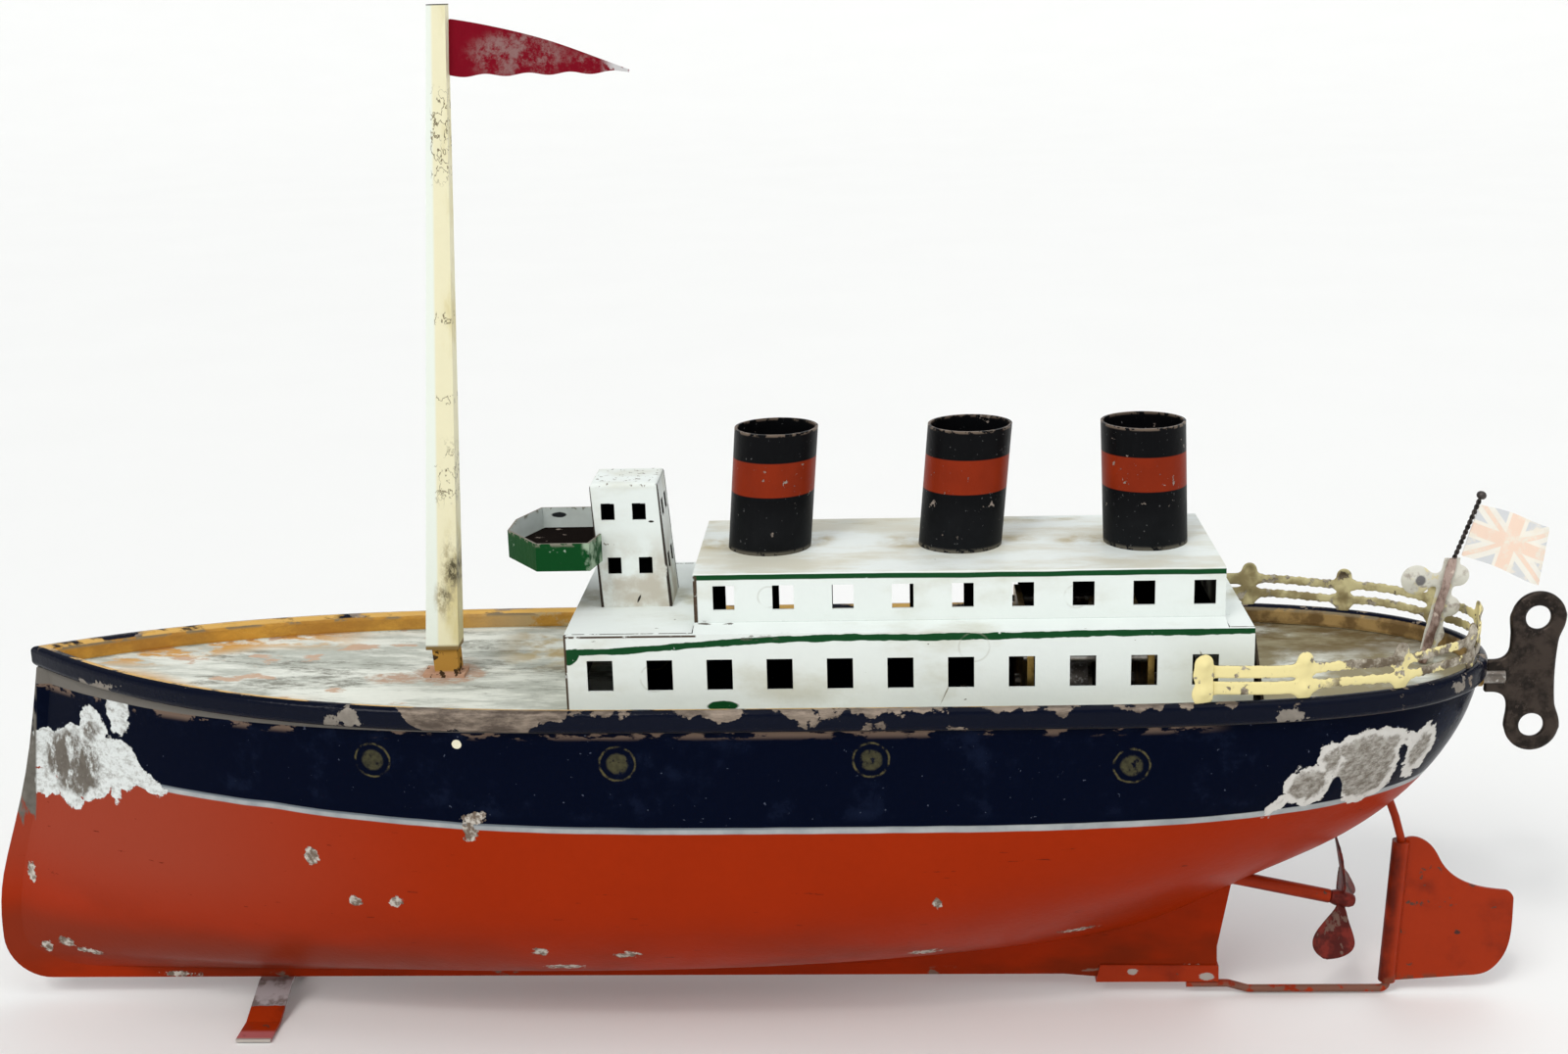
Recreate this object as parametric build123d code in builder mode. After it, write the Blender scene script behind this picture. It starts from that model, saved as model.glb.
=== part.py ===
"""Clockwork tinplate toy liner, in millimetres.

Frame: +X runs aft, so the bow points along -X; port is -Y and +Z is up.
Origin: the middle of the bounding box, on the surface that the toy stands on.
"""

import os
from math import acos, atan2, cos, degrees, pi, radians, sin, sqrt, tan

from build123d import *

# ---------------------------------------------------------------- sheet and wire
SHEET = 0.5  # tinplate of the cabins, tower and rail
HULL_WALL = 0.5
FLANGE = 0.6  # each hull half's own flange at the centreline
SEAM = 0.25  # open gap between folded sheets
RUNNING = 0.08  # radial clearance of every turning fit

# ---------------------------------------------------------------- hull
# height, half breadth, bow end, stern end of each waterline of the plating
WATERLINES = (
    (7.6, 0.75, -147.0, 22.0),
    (9.2, 6.5, -152.5, 44.0),
    (12.5, 14.0, -155.0, 66.0),
    (18.0, 21.0, -155.2, 84.0),
    (26.0, 26.4, -153.6, 99.5),
    (36.0, 29.6, -150.8, 118.5),
    (47.0, 31.0, -147.2, 131.2),
    (58.0, 31.45, -144.2, 138.2),
    (66.0, 31.55, -142.6, 140.8),
    (76.0, 31.6, -141.6, 141.6),
)
WIDEST = 0.53  # share of a waterline's length forward of its widest point
BOW_POWER = (2.0, 3.7)  # lowest and highest waterline: how full the bow is
STERN_POWER = (2.0, 5.0)
STERN_ROOT = (1.0, 0.5)
KEEL_Z = 4.5
SHEER_Z = 74.1  # gunwale top amidships
SHEER_START = -20.0
SHEER_RISE = 3.4  # at the bow
GUNWALE = (33.0, -144.5, 142.4)  # outer half breadth, bow end, stern end
BULWARK = (30.4, -139.5, 139.7)  # inner wall of the rolled gunwale
DECK_DROP = 3.9  # deck below the gunwale top
BEAD_HEIGHT = DECK_DROP + SHEET  # the deck tray rests on the plating's edge
BEAD_ROUND = 1.2

# ---------------------------------------------------------------- superstructure
DECK_Z = SHEER_Z - DECK_DROP
LOWER_X = (-32.8, 94.0)
LOWER_HALF = 24.2
LOWER_Z = 86.0
UPPER_X = (-8.8, 89.3)
UPPER_HALF = 19.4
UPPER_Z = 96.2
LEDGE_RISE = 0.8  # the side ledge slopes up to the upper wall
LOWER_WINDOWS = (11, -26.3, 11.15, 78.1, 4.8, 6.0)  # count, first x, pitch, z, width, height
UPPER_WINDOWS = (9, -3.2, 11.09, 91.5, 4.0, 4.7)
TOWER_FOOT_X = (-28.0, -14.2)
TOWER_TOP_X = (-29.2, -16.2)
TOWER_HALF = 6.4
TOWER_Z = 110.6
TOWER_WINDOWS = ((105.0, -22.85), (94.3, -22.0))  # height and middle x of each row
BRIDGE_Z = (95.5, 100.9)
FUNNEL_RADIUS = 8.0
FUNNEL_Z = 119.8
FUNNELS = {"funnel_fore": (4.6, 6.5), "funnel_mid": (41.4, 43.4), "funnel_aft": (76.9, 76.1)}

# ---------------------------------------------------------------- mast, rail and staff
MAST_FOOT = (-60.6, 76.4)
MAST_TOP = (-53.2, 199.6)
MAST_FOOT_SIZE = (6.5, 5.2)
MAST_TOP_SIZE = (3.5, 3.0)
RAIL_PATH = (31.6, -143.0, 141.2)  # outer face of the rail strip in plan
RAIL_Z = ((1.2, 3.2), (4.4, 6.5))  # lower and upper band above the gunwale top
RAIL_POSTS = (0.0, 14.0, 33.0, 52.0, 71.0)  # along the strip from the stern
POST_HEIGHT = 7.4
STAFF_FOOT = (130.7, DECK_Z + 0.3)
STAFF_BEND = (136.4, 91.4)
STAFF_TOP = (140.0, 104.0)

# ---------------------------------------------------------------- running gear
SHAFT_SLOPE = 0.2217  # the propeller shaft drops this much per unit aft
SHAFT_POINT = (98.1, 25.0)
SHAFT_RADIUS = 0.8
TUBE_RADIUS = 1.4
TUBE_X = (84.0, 115.0)
HUB_X = 117.5
BLADE_REACH = 12.8
COUPLING_X = 80.0
WIRE_RADIUS = 0.8
POST_TOP = (128.8, 35.3)  # hinge line of the rudder
POST_FOOT = (127.3, 2.3)
POST_HEAD = (125.0, 44.5)
POST_KNEE = (127.3, 38.4)  # where the wire bends out of its run through the counter
RUDDER_TUBE = 1.7

# ---------------------------------------------------------------- clockwork
ARBOR_Z = 67.7
ARBOR_RADIUS = 1.5
BUSH_RADIUS = 2.0
MODULE = 0.6
PRESSURE = radians(20)
BACKLASH = 0.10
ADDENDUM = 0.72  # shortened teeth, in modules
DEDENDUM = 1.05
GREAT_TEETH = 54
SECOND_TEETH = 52
PINION_TEETH = 12
RATCHET_TEETH = 12
PLATE_X = (53.0, 75.2)  # fore faces of the two motor plates
PLATE = 1.2
SPRING_X = 54.8
SPRING_WIDTH = 10.2
SPRING_RADIUS = 14.4
RATCHET_X = 65.6
RATCHET_RADII = (5.0, 6.4)  # roots and tips of its teeth
GREAT_X = 67.2
SECOND_X = 70.6
PIVOT_RADIUS = 0.8
PILLARS = ((-18.6, 79.0), (18.6, 79.0), (-18.6, 51.0), (18.8, 56.0), (-10.5, 29.0), (10.5, 29.0))
PILLAR_RADIUS = 1.1
RIVET_RADIUS = 0.7
KEY_EYES = ((152.5, 79.6), (152.5, 57.6))
KEY_EYE_RADIUS = 5.2
KEY_HOLE_RADIUS = 2.45


def shaft_z(x):
    """Height of the propeller shaft's axis."""
    return SHAFT_POINT[1] + (SHAFT_POINT[0] - x) * SHAFT_SLOPE


def waterline_points(breadth, bow, stern, level):
    """Port side points of a waterline, bow to stern; level runs from 0, lowest, to 1."""
    widest = bow + WIDEST * (stern - bow)
    bow_power, stern_power, stern_root = (
        low + (high - low) * level for low, high in (BOW_POWER, STERN_POWER, STERN_ROOT)
    )

    def half(x):
        if x < widest:
            return breadth * (1 - ((widest - x) / (widest - bow)) ** bow_power)
        return breadth * max(0.0, 1 - ((x - widest) / (stern - widest)) ** stern_power) ** stern_root

    fore = [widest - share * (widest - bow) for share in (1, 0.95, 0.86, 0.72, 0.5, 0.25)]
    aft = [widest + share * (stern - widest) for share in (0, 0.35, 0.6, 0.8, 0.92, 0.98, 1)]
    return [(x, -half(x)) for x in fore + aft]


def waterline(breadth, bow, stern, level=1.0):
    """Half of a waterline's plane, port side, as a face."""
    points = waterline_points(breadth, bow, stern, level)
    with BuildSketch() as half:
        with BuildLine():
            Spline(*points)
            Line(points[-1], points[0])
        make_face()
    return half.sketch


def plan(breadth, bow, stern):
    """A whole waterline's plane at gunwale level."""
    with BuildSketch() as whole:
        add(waterline(breadth, bow, stern))
        mirror(about=Plane.XZ)
    return whole.sketch


def port_body(lift=0.0, slim=0.0, trim=0.0):
    """The port half of the hull as a solid, raised, narrowed and shortened by so much."""
    lowest, highest = WATERLINES[0][0], WATERLINES[-1][0]
    with BuildPart() as body:
        for height, breadth, bow, stern in WATERLINES:
            with BuildSketch(Plane.XY.offset(height + lift)):
                level = (height - lowest) / (highest - lowest)
                add(waterline(breadth - slim, bow + trim, stern - trim, level))
        loft()
    return body.part


def sheer_band(low, high):
    """Everything between two heights measured from the gunwale top, along the sheer."""
    start, run = SHEER_START, SHEER_START - GUNWALE[1]
    far = 1.3  # past the bow, as a share of the run
    rise = SHEER_RISE * far**2
    bow = start - far * run
    with BuildPart() as band:
        with BuildSketch(Plane.XZ):
            with BuildLine():
                fore_low = (bow, SHEER_Z + low + rise)
                fore_high = (bow, SHEER_Z + high + rise)
                TangentArc((start, SHEER_Z + low), fore_low, tangent=(-1, 0))
                Line(fore_low, fore_high)
                TangentArc((start, SHEER_Z + high), fore_high, tangent=(-1, 0))
                Polyline((start, SHEER_Z + high), (180, SHEER_Z + high), (180, SHEER_Z + low))
                Line((180, SHEER_Z + low), (start, SHEER_Z + low))
            make_face()
        extrude(amount=60, both=True)
    return band.part


def rod(start, end, radius):
    """A round bar in the centre plane between two (x, z) points."""
    along = Vector(end[0] - start[0], 0, end[1] - start[1])
    with BuildPart() as bar:
        with BuildSketch(Plane(origin=(start[0], 0, start[1]), z_dir=along)):
            Circle(radius)
        extrude(amount=along.length)
    return bar.part


def shaft_rod(fore, aft, radius):
    """A round bar on the propeller shaft's axis between two x stations."""
    return rod((fore, shaft_z(fore)), (aft, shaft_z(aft)), radius)


def prism(points, half_width):
    """A solid from (x, z) corners, as wide as twice the half width."""
    with BuildPart() as solid:
        with BuildSketch(Plane.XZ):
            with BuildLine():
                Polyline(*points, close=True)
            make_face()
        extrude(amount=half_width, both=True)
    return solid.part


def folded(points, half_width, thickness=SHEET):
    """A sheet folded along (x, z) points, with its thickness to the right of the path."""
    with BuildPart() as sheet:
        with BuildSketch(Plane.XZ):
            with BuildLine():
                path = Polyline(*points)
                offset(path, amount=thickness, side=Side.RIGHT, kind=Kind.INTERSECTION)
            make_face()
        extrude(amount=half_width, both=True)
    return sheet.part


# ================================================================ hull
inner_port = port_body(lift=0.6, slim=HULL_WALL, trim=1.6)
above_bead = sheer_band(-BEAD_HEIGHT, 40)
stern_tube_hole = shaft_rod(TUBE_X[0] - 20, TUBE_X[1], TUBE_RADIUS)
bush_hole = rod((130, ARBOR_Z), (150, ARBOR_Z), BUSH_RADIUS)
wire_hole = rod(POST_HEAD, POST_KNEE, WIRE_RADIUS)

with BuildPart() as hull_port:
    add(port_body())
    with BuildSketch(Plane.XZ):
        with BuildLine():
            stem = ((-142.9, 76), (-149.4, 47.8), (-154.6, 32.7), (-157.9, 13.8))
            Spline(*stem, tangents=((-0.2, -1), (0, -1)))
            RadiusArc((-157.9, 13.8), (-148.6, KEEL_Z), -9.3)
            Polyline((-148.6, KEEL_Z), (62, KEEL_Z), (68.6, 3.9), (93.1, 3.7), (92.9, 10.4), (95.4, 24.6))
            Polyline((95.4, 24.6), (60, 40), (-100, 60), (-142.9, 76))
        make_face()
    extrude(amount=FLANGE)
    add(inner_port, mode=Mode.SUBTRACT)
    add(above_bead, mode=Mode.SUBTRACT)
    add(stern_tube_hole, mode=Mode.SUBTRACT)
    add(bush_hole, mode=Mode.SUBTRACT)
    add(wire_hole, mode=Mode.SUBTRACT)
hull_port.part.label = "hull_port"

with BuildPart() as hull_starboard:
    add(mirror(hull_port.part, about=Plane.XZ, mode=Mode.PRIVATE))
hull_starboard.part.label = "hull_starboard"

with BuildPart() as skeg_shoe:
    add(prism(((68.6, 2.8), (93.4, 2.8), (93.3, 6.4), (69.4, 6.6)), 1.0))
    add(prism(((60, 3.9), (68.6, 3.9), (93.1, 3.7), (93.1, 12), (60, 12)), FLANGE), mode=Mode.SUBTRACT)
skeg_shoe.part.label = "skeg_shoe"


def deck_floor():
    """The sunk floor of the deck tray, following the sheer and reaching into the gunwale's foot."""
    with BuildPart() as floor:
        with BuildSketch(Plane.XY.offset(60)):
            add(plan(BULWARK[0] + 0.8, BULWARK[1] - 1.2, BULWARK[2] + 0.8))
        extrude(amount=30)
        add(sheer_band(-DECK_DROP - SHEET, -DECK_DROP), mode=Mode.INTERSECT)
    return floor.part


with BuildPart() as deck:
    with BuildSketch(Plane.XY.offset(60)):
        add(plan(*GUNWALE))
        add(plan(*BULWARK), mode=Mode.SUBTRACT)
    extrude(amount=30)
    add(sheer_band(-BEAD_HEIGHT, 0), mode=Mode.INTERSECT)
    long_edges = [edge for edge in deck.edges() if edge.length > 60]
    fillet(long_edges, BEAD_ROUND)
    add(deck_floor())
    with Locations((31, 0, DECK_Z)):
        Box(114, 42, 4, mode=Mode.SUBTRACT)
deck.part.label = "deck"

with BuildPart() as front_stand:
    with BuildSketch(Plane.YZ.offset(-104.2)):
        with BuildLine():
            leg = Polyline((0, KEEL_Z), (2.2, KEEL_Z), (12.6, 0.6), (19.7, 0.6))
            offset(leg, amount=0.6, side=Side.RIGHT, kind=Kind.INTERSECTION)
        make_face()
        mirror(about=Plane.YZ)
    extrude(amount=7)
front_stand.part.label = "front_stand"

# ================================================================ cabins
with BuildPart() as cabin_shell:
    with BuildSketch(Plane.YZ.offset(LOWER_X[0])):
        with BuildLine():
            side = Polyline(
                (LOWER_HALF, DECK_Z),
                (LOWER_HALF, LOWER_Z),
                (UPPER_HALF, LOWER_Z + LEDGE_RISE),
                (UPPER_HALF, UPPER_Z),
                (0, UPPER_Z),
            )
            offset(side, amount=SHEET, side=Side.LEFT, kind=Kind.INTERSECTION)
        make_face()
        mirror(about=Plane.YZ)
    extrude(amount=LOWER_X[1] - LOWER_X[0])
    roof_edges = cabin_shell.edges().filter_by(Axis.X).group_by(Axis.Z)[-1].sort_by(Axis.Y)
    fillet([roof_edges[0], roof_edges[-1]], 0.45)
    for gap in ((LOWER_X[0] - 1, UPPER_X[0]), (UPPER_X[1], LOWER_X[1] + 1)):
        with Locations(((gap[0] + gap[1]) / 2, 0, LOWER_Z + 10)):
            Box(gap[1] - gap[0], 2 * LOWER_HALF - 2 * SHEET - 2 * SEAM, 21.6, mode=Mode.SUBTRACT)
            Box(gap[1] - gap[0], 2 * LOWER_HALF + 2, 20, mode=Mode.SUBTRACT)
    for (count, first, pitch, height, width, tall), half in (
        (LOWER_WINDOWS, LOWER_HALF),
        (UPPER_WINDOWS, UPPER_HALF),
    ):
        for side_sign in (-1, 1):
            with Locations(*[(first + i * pitch, side_sign * half, height) for i in range(count)]):
                Box(width, 3, tall, mode=Mode.SUBTRACT)
cabin_shell.part.label = "cabin_shell"

inside = LOWER_HALF - SHEET - SEAM
upper_inside = UPPER_HALF - SHEET - SEAM
under_roof = UPPER_Z - SHEET - SEAM


def cabin_end(points):
    """An end sheet folded over both cabin levels, narrowed where it closes the upper one."""
    middle = (UPPER_X[0] + UPPER_X[1]) / 2
    length = UPPER_X[1] - UPPER_X[0] + 2 * SEAM
    with BuildPart() as end:
        add(folded(points, inside))
        for sign in (-1, 1):
            with Locations((middle, sign * (upper_inside + 10), LOWER_Z)):
                Box(length, 20, 60, mode=Mode.SUBTRACT)
        with Locations((middle, 0, DECK_Z - 5)):
            Box(300, 100, 10, mode=Mode.SUBTRACT)
    return end.part


with BuildPart() as cabin_front:
    upright = UPPER_X[0] + 0.1
    add(cabin_end(((LOWER_X[0], DECK_Z), (LOWER_X[0], LOWER_Z), (upright, LOWER_Z), (upright, under_roof))))
cabin_front.part.label = "cabin_front"

with BuildPart() as cabin_aft:
    upright = UPPER_X[1] - 0.1
    add(cabin_end(((upright, under_roof), (upright, LOWER_Z), (LOWER_X[1], LOWER_Z), (96.4, DECK_Z))))
cabin_aft.part.label = "cabin_aft"

# ================================================================ bridge


def tower_block(inset):
    """The tower's outer or inner block, leaning forward a little."""
    with BuildPart() as block:
        for height, (fore, aft) in ((LOWER_Z, TOWER_FOOT_X), (TOWER_Z - inset, TOWER_TOP_X)):
            with BuildSketch(Plane.XY.offset(height)):
                with Locations(((fore + aft) / 2, 0)):
                    Rectangle(aft - fore - 2 * inset, 2 * (TOWER_HALF - inset))
        loft()
    return block.part


with BuildPart() as bridge_tower:
    add(tower_block(0))
    fillet(bridge_tower.edges().group_by(Axis.Z)[-1], 0.9)
    add(tower_block(SHEET), mode=Mode.SUBTRACT)
    for height, middle in TOWER_WINDOWS:
        with Locations((middle - 3.0, 0, height), (middle + 3.0, 0, height)):
            Box(2.6, 30, 3.3, mode=Mode.SUBTRACT)
        with Locations((TOWER_FOOT_X[1] - 1, -2.6, height), (TOWER_FOOT_X[1] - 1, 2.6, height)):
            Box(6, 2.4, 3.3, mode=Mode.SUBTRACT)
    for foot, top in zip(TOWER_FOOT_X, TOWER_TOP_X):
        for sign in (-1, 1):
            with BuildSketch(Plane.XY.offset(LOWER_Z)):
                with Locations((foot, sign * (TOWER_HALF - 0.75))):
                    Rectangle(2, 0.3)
            with BuildSketch(Plane.XY.offset(TOWER_Z - 1.4)):
                with Locations((top, sign * (TOWER_HALF - 0.75))):
                    Rectangle(2, 0.3)
            loft(mode=Mode.SUBTRACT)
bridge_tower.part.label = "bridge_tower"

BRIDGE_PLAN = (
    (-27.6, -6.9),
    (-29.0, -13.4),
    (-38.6, -13.4),
    (-45.5, -3.4),
    (-45.3, 4.6),
    (-41.8, 13.4),
    (-29.0, 13.4),
    (-27.6, 6.9),
)

with BuildPart() as bridge_parapet:
    with BuildSketch(Plane.XY.offset(BRIDGE_Z[0])):
        with BuildLine():
            band = Polyline(*BRIDGE_PLAN)
            offset(band, amount=0.4, side=Side.LEFT, kind=Kind.INTERSECTION)
        make_face()
    extrude(amount=BRIDGE_Z[1] - BRIDGE_Z[0])
bridge_parapet.part.label = "bridge_parapet"

with BuildPart() as bridge_floor:
    with BuildSketch(Plane.XY.offset(BRIDGE_Z[0] + 1.0)):
        with BuildLine():
            Polyline(*BRIDGE_PLAN, close=True)
        make_face()
        offset(amount=-0.4, kind=Kind.INTERSECTION)
    extrude(amount=0.4)
    add(tower_block(0), mode=Mode.SUBTRACT)
    add(bridge_parapet.part, mode=Mode.SUBTRACT)
bridge_floor.part.label = "bridge_floor"

# ================================================================ funnels


def funnel(foot, top):
    """An open tube that leans from one centre to the other, cut level at both ends."""
    with BuildPart() as tube:
        for radius, mode in ((FUNNEL_RADIUS, Mode.ADD), (FUNNEL_RADIUS - SHEET, Mode.SUBTRACT)):
            for x, z in ((foot, UPPER_Z), (top, FUNNEL_Z)):
                with BuildSketch(Plane.XY.offset(z)):
                    with Locations((x, 0)):
                        Circle(radius)
            loft(mode=mode)
    return tube.part


funnels = {}
for name, (foot, top) in FUNNELS.items():
    funnels[name] = funnel(foot, top)
    funnels[name].label = name

# ================================================================ mast and pennant
with BuildPart() as mast:
    for inset, mode in ((0.0, Mode.ADD), (0.45, Mode.SUBTRACT)):
        for (x, z), (length, width) in ((MAST_FOOT, MAST_FOOT_SIZE), (MAST_TOP, MAST_TOP_SIZE)):
            with BuildSketch(Plane.XY.offset(z)):
                with Locations((x, 0)):
                    Rectangle(length - 2 * inset, width - 2 * inset)
        loft(mode=mode)
    seam = rod((MAST_FOOT[0], MAST_FOOT[1] - 2), (MAST_TOP[0], MAST_TOP[1] + 2), 0.25)
    add(seam.moved(Location((0, 2, 0))), mode=Mode.SUBTRACT)
mast.part.label = "mast"

with BuildPart() as mast_foot:
    add(prism(((-64.8, 70.2), (-56.6, 70.2), (-56.6, 71.2), (-64.8, 71.4)), 2.6))
    add(prism(((-62.4, 70.2), (-57.6, 70.2), (-57.9, MAST_FOOT[1] + 2), (-62.9, MAST_FOOT[1] + 2)), 2.0))
    add(deck_floor(), mode=Mode.SUBTRACT)
mast_foot.part.label = "mast_foot"

with BuildPart() as pennant:
    with BuildSketch(Plane.XZ):
        with BuildLine():
            Line((-51.95, 186.6), (-51.25, 197.0))
            Spline((-51.25, 197.0), (-33.0, 193.3), (-19.6, 187.0))
            Line((-19.6, 187.0), (-51.95, 186.6))
        make_face()
    extrude(amount=0.2, both=True)
pennant.part.label = "pennant"

# ================================================================ stern rail
with BuildLine() as rail_line:
    half_path = waterline_points(*RAIL_PATH, 1.0)
    Spline(*half_path[-8:], tangents=((1, -0.02), (0, 1)))
rail_half = rail_line.edges()[0]

with BuildPart() as stern_rail:
    for low, high in RAIL_Z:
        with BuildSketch(Plane.XY.offset(SHEER_Z + low)):
            add(plan(*RAIL_PATH))
            add(plan(RAIL_PATH[0] - SHEET, RAIL_PATH[1] + 1, RAIL_PATH[2] - SHEET), mode=Mode.SUBTRACT)
            with Locations((-60, 0)):
                Rectangle(2 * 60 + 2 * 83.5, 100, mode=Mode.SUBTRACT)
        extrude(amount=high - low)
    for distance in RAIL_POSTS:
        where = rail_half.position_at(rail_half.length - distance, position_mode=PositionMode.LENGTH)
        along = rail_half.tangent_at(rail_half.length - distance, position_mode=PositionMode.LENGTH)
        width = 3.8 if distance == RAIL_POSTS[-1] else 2.8
        for sign in ((1,) if distance == 0 else (-1, 1)):
            turn = sign * -degrees(atan2(along.Y, along.X))
            with Locations(Location((where.X, sign * -where.Y, SHEER_Z), (0, 0, turn))):
                with Locations((0, sign * -SHEET / 2, POST_HEIGHT / 2)):
                    Box(width, 0.9, POST_HEIGHT)
                with Locations((0, sign * -SHEET / 2, POST_HEIGHT)):
                    Sphere(1.15)
stern_rail.part.label = "stern_rail"

# ================================================================ flagstaff and ensign
with BuildPart() as staff_bracket:
    foot, head = STAFF_FOOT, (135.7, 91.6)
    with BuildSketch(Plane.XZ.offset(-0.5)):
        with BuildLine():
            Polyline(
                (foot[0] - 0.9, foot[1]),
                (foot[0] + 2.4, foot[1]),
                (head[0] + 1.6, head[1]),
                (head[0] - 1.6, head[1]),
                close=True,
            )
        make_face()
        with BuildLine():
            Polyline((131.0, 85.6), (134.6, 85.6), (134.9, 88.4), (131.0, 88.8), close=True)
        make_face()
        with Locations((129.0, 87.2)):
            Circle(3.0)
        with Locations((136.8, 88.2)):
            Circle(2.0)
        with Locations((134.9, 82.0)):
            Circle(1.9)
        with Locations((129.8, 87.4)):
            Circle(0.8, mode=Mode.SUBTRACT)
    extrude(amount=-0.5)
staff_bracket.part.label = "staff_bracket"

with BuildPart() as flagstaff:
    add(rod(STAFF_FOOT, STAFF_BEND, 0.5))
    add(rod(STAFF_BEND, STAFF_TOP, 0.5))
    with Locations((STAFF_BEND[0], 0, STAFF_BEND[1])):
        Sphere(0.5)
    with Locations((STAFF_TOP[0], 0, STAFF_TOP[1])):
        Sphere(1.0)
flagstaff.part.label = "flagstaff"

with BuildPart() as ensign:
    with BuildSketch(Plane.XZ):
        with BuildLine():
            Line((136.9, 92.2), (139.9, 102.9))
            Spline((139.9, 102.9), (146.0, 100.2), (153.4, 98.4))
            Line((153.4, 98.4), (152.2, 86.0))
            Spline((152.2, 86.0), (145.0, 89.0), (136.9, 92.2))
        make_face()
    extrude(amount=0.2, both=True)
    add(flagstaff.part, mode=Mode.SUBTRACT)
ensign.part.label = "ensign"

# ================================================================ rudder and its post
slope = (POST_TOP[0] - POST_FOOT[0]) / (POST_TOP[1] - POST_FOOT[1])


def on_post(z):
    """x of the hinge line at a height."""
    return POST_FOOT[0] + slope * (z - POST_FOOT[1])


with BuildPart() as rudder_post:
    corners = [
        (POST_HEAD[0], 0, POST_HEAD[1]),
        (POST_KNEE[0], 0, POST_KNEE[1]),
        (on_post(33.5), 0, 33.5),
        (on_post(WIRE_RADIUS), 0, WIRE_RADIUS),
        (99.4, 0, WIRE_RADIUS),
        (95.4, 0, 2.0),
        (87.0, 0, 2.0),
    ]
    with BuildLine() as wire:
        FilletPolyline(*corners, radius=(2.4, 2.4, 1.3, 2.4, 2.4))
    with BuildSketch(Plane(origin=corners[0], z_dir=wire.wires()[0] % 0)):
        Circle(WIRE_RADIUS)
    sweep(path=wire.wires()[0])
rudder_post.part.label = "rudder_post"

with BuildPart() as rudder:
    foot_z, top_z = 2.6, 33.2
    with BuildSketch(Plane.XZ.offset(-0.3)):
        with BuildLine():
            Line((on_post(foot_z), foot_z), (on_post(top_z), top_z))
            Spline(
                (on_post(top_z), top_z + 0.01),
                (131.3, 34.0),
                (133.7, 33.0),
                (135.3, 31.4),
                (137.0, 28.4),
                (139.5, 25.6),
                (143.5, 23.5),
                (146.4, 22.8),
                (149.4, 22.4),
            )
            ThreePointArc((149.4, 22.4), (150.9, 21.8), (151.5, 20.4))
            trailing = ((151.5, 20.4), (151.4, 12.7), (150.3, 8.2), (148.0, 5.1), (144.6, 3.8))
            Spline(*trailing, tangents=((0, -1), (-1, -0.1)))
            Line((144.6, 3.8), (on_post(foot_z), foot_z))
            Line((on_post(top_z), top_z), (on_post(top_z), top_z + 0.01))
        make_face()
    extrude(amount=0.6)
    add(rod((on_post(foot_z), foot_z), (on_post(top_z), top_z), RUDDER_TUBE))
    bore = rod((on_post(foot_z - 2), foot_z - 2), (on_post(top_z + 4), top_z + 4), WIRE_RADIUS + RUNNING)
    add(bore, mode=Mode.SUBTRACT)
rudder.part.label = "rudder"

# ================================================================ propeller line
shaft_angle = degrees(atan2(SHAFT_SLOPE, 1))
hub_plane = Plane(origin=(HUB_X, 0, shaft_z(HUB_X)), x_dir=(0, 1, 0), z_dir=(1, 0, -SHAFT_SLOPE))

with BuildPart() as stern_tube:
    add(shaft_rod(*TUBE_X, TUBE_RADIUS))
    add(shaft_rod(TUBE_X[0] - 2, TUBE_X[1] + 2, SHAFT_RADIUS + RUNNING), mode=Mode.SUBTRACT)
stern_tube.part.label = "stern_tube"

with BuildPart() as propeller:
    with BuildSketch(hub_plane.offset(-1.9)):
        Circle(1.9)
    extrude(amount=4.2)
    for blade in range(3):
        about_hub = Location((0, 0, 0), (0, 0, 4 + 120 * blade))
        pitched = Location((0, 0, 0), (0, -38, 0))
        turn = Location(hub_plane) * about_hub * pitched
        with BuildSketch(Plane(turn)):
            with BuildLine():
                Spline((-1.0, 1.0), (-3.9, 7.4), (0, BLADE_REACH), (3.9, 7.4), (1.0, 1.0))
                Line((1.0, 1.0), (-1.0, 1.0))
            make_face()
        extrude(amount=0.3, both=True)
    add(shaft_rod(HUB_X - 9, HUB_X + 9, SHAFT_RADIUS), mode=Mode.SUBTRACT)
propeller.part.label = "propeller"

with BuildPart() as propeller_shaft:
    add(shaft_rod(COUPLING_X + 1.6, HUB_X + 2.6, SHAFT_RADIUS))
propeller_shaft.part.label = "propeller_shaft"

with BuildPart() as shaft_cup:
    cup_centre = (COUPLING_X, 0, shaft_z(COUPLING_X))
    cup_plane = Plane(origin=cup_centre, x_dir=(0, 1, 0), z_dir=(1, 0, -SHAFT_SLOPE))
    with BuildSketch(cup_plane.offset(-1.3)):
        Circle(3.2)
    extrude(amount=4.0)
    with BuildSketch(cup_plane.offset(-1.3)):
        Rectangle(1.9, 8)
    extrude(amount=2.7, mode=Mode.SUBTRACT)
    add(propeller_shaft.part, mode=Mode.SUBTRACT)
shaft_cup.part.label = "shaft_cup"

# ================================================================ winding key and arbor
with BuildPart() as winding_arbor:
    add(rod((PLATE_X[0] - 1.0, ARBOR_Z), (146.6, ARBOR_Z), ARBOR_RADIUS))
winding_arbor.part.label = "winding_arbor"

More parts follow.
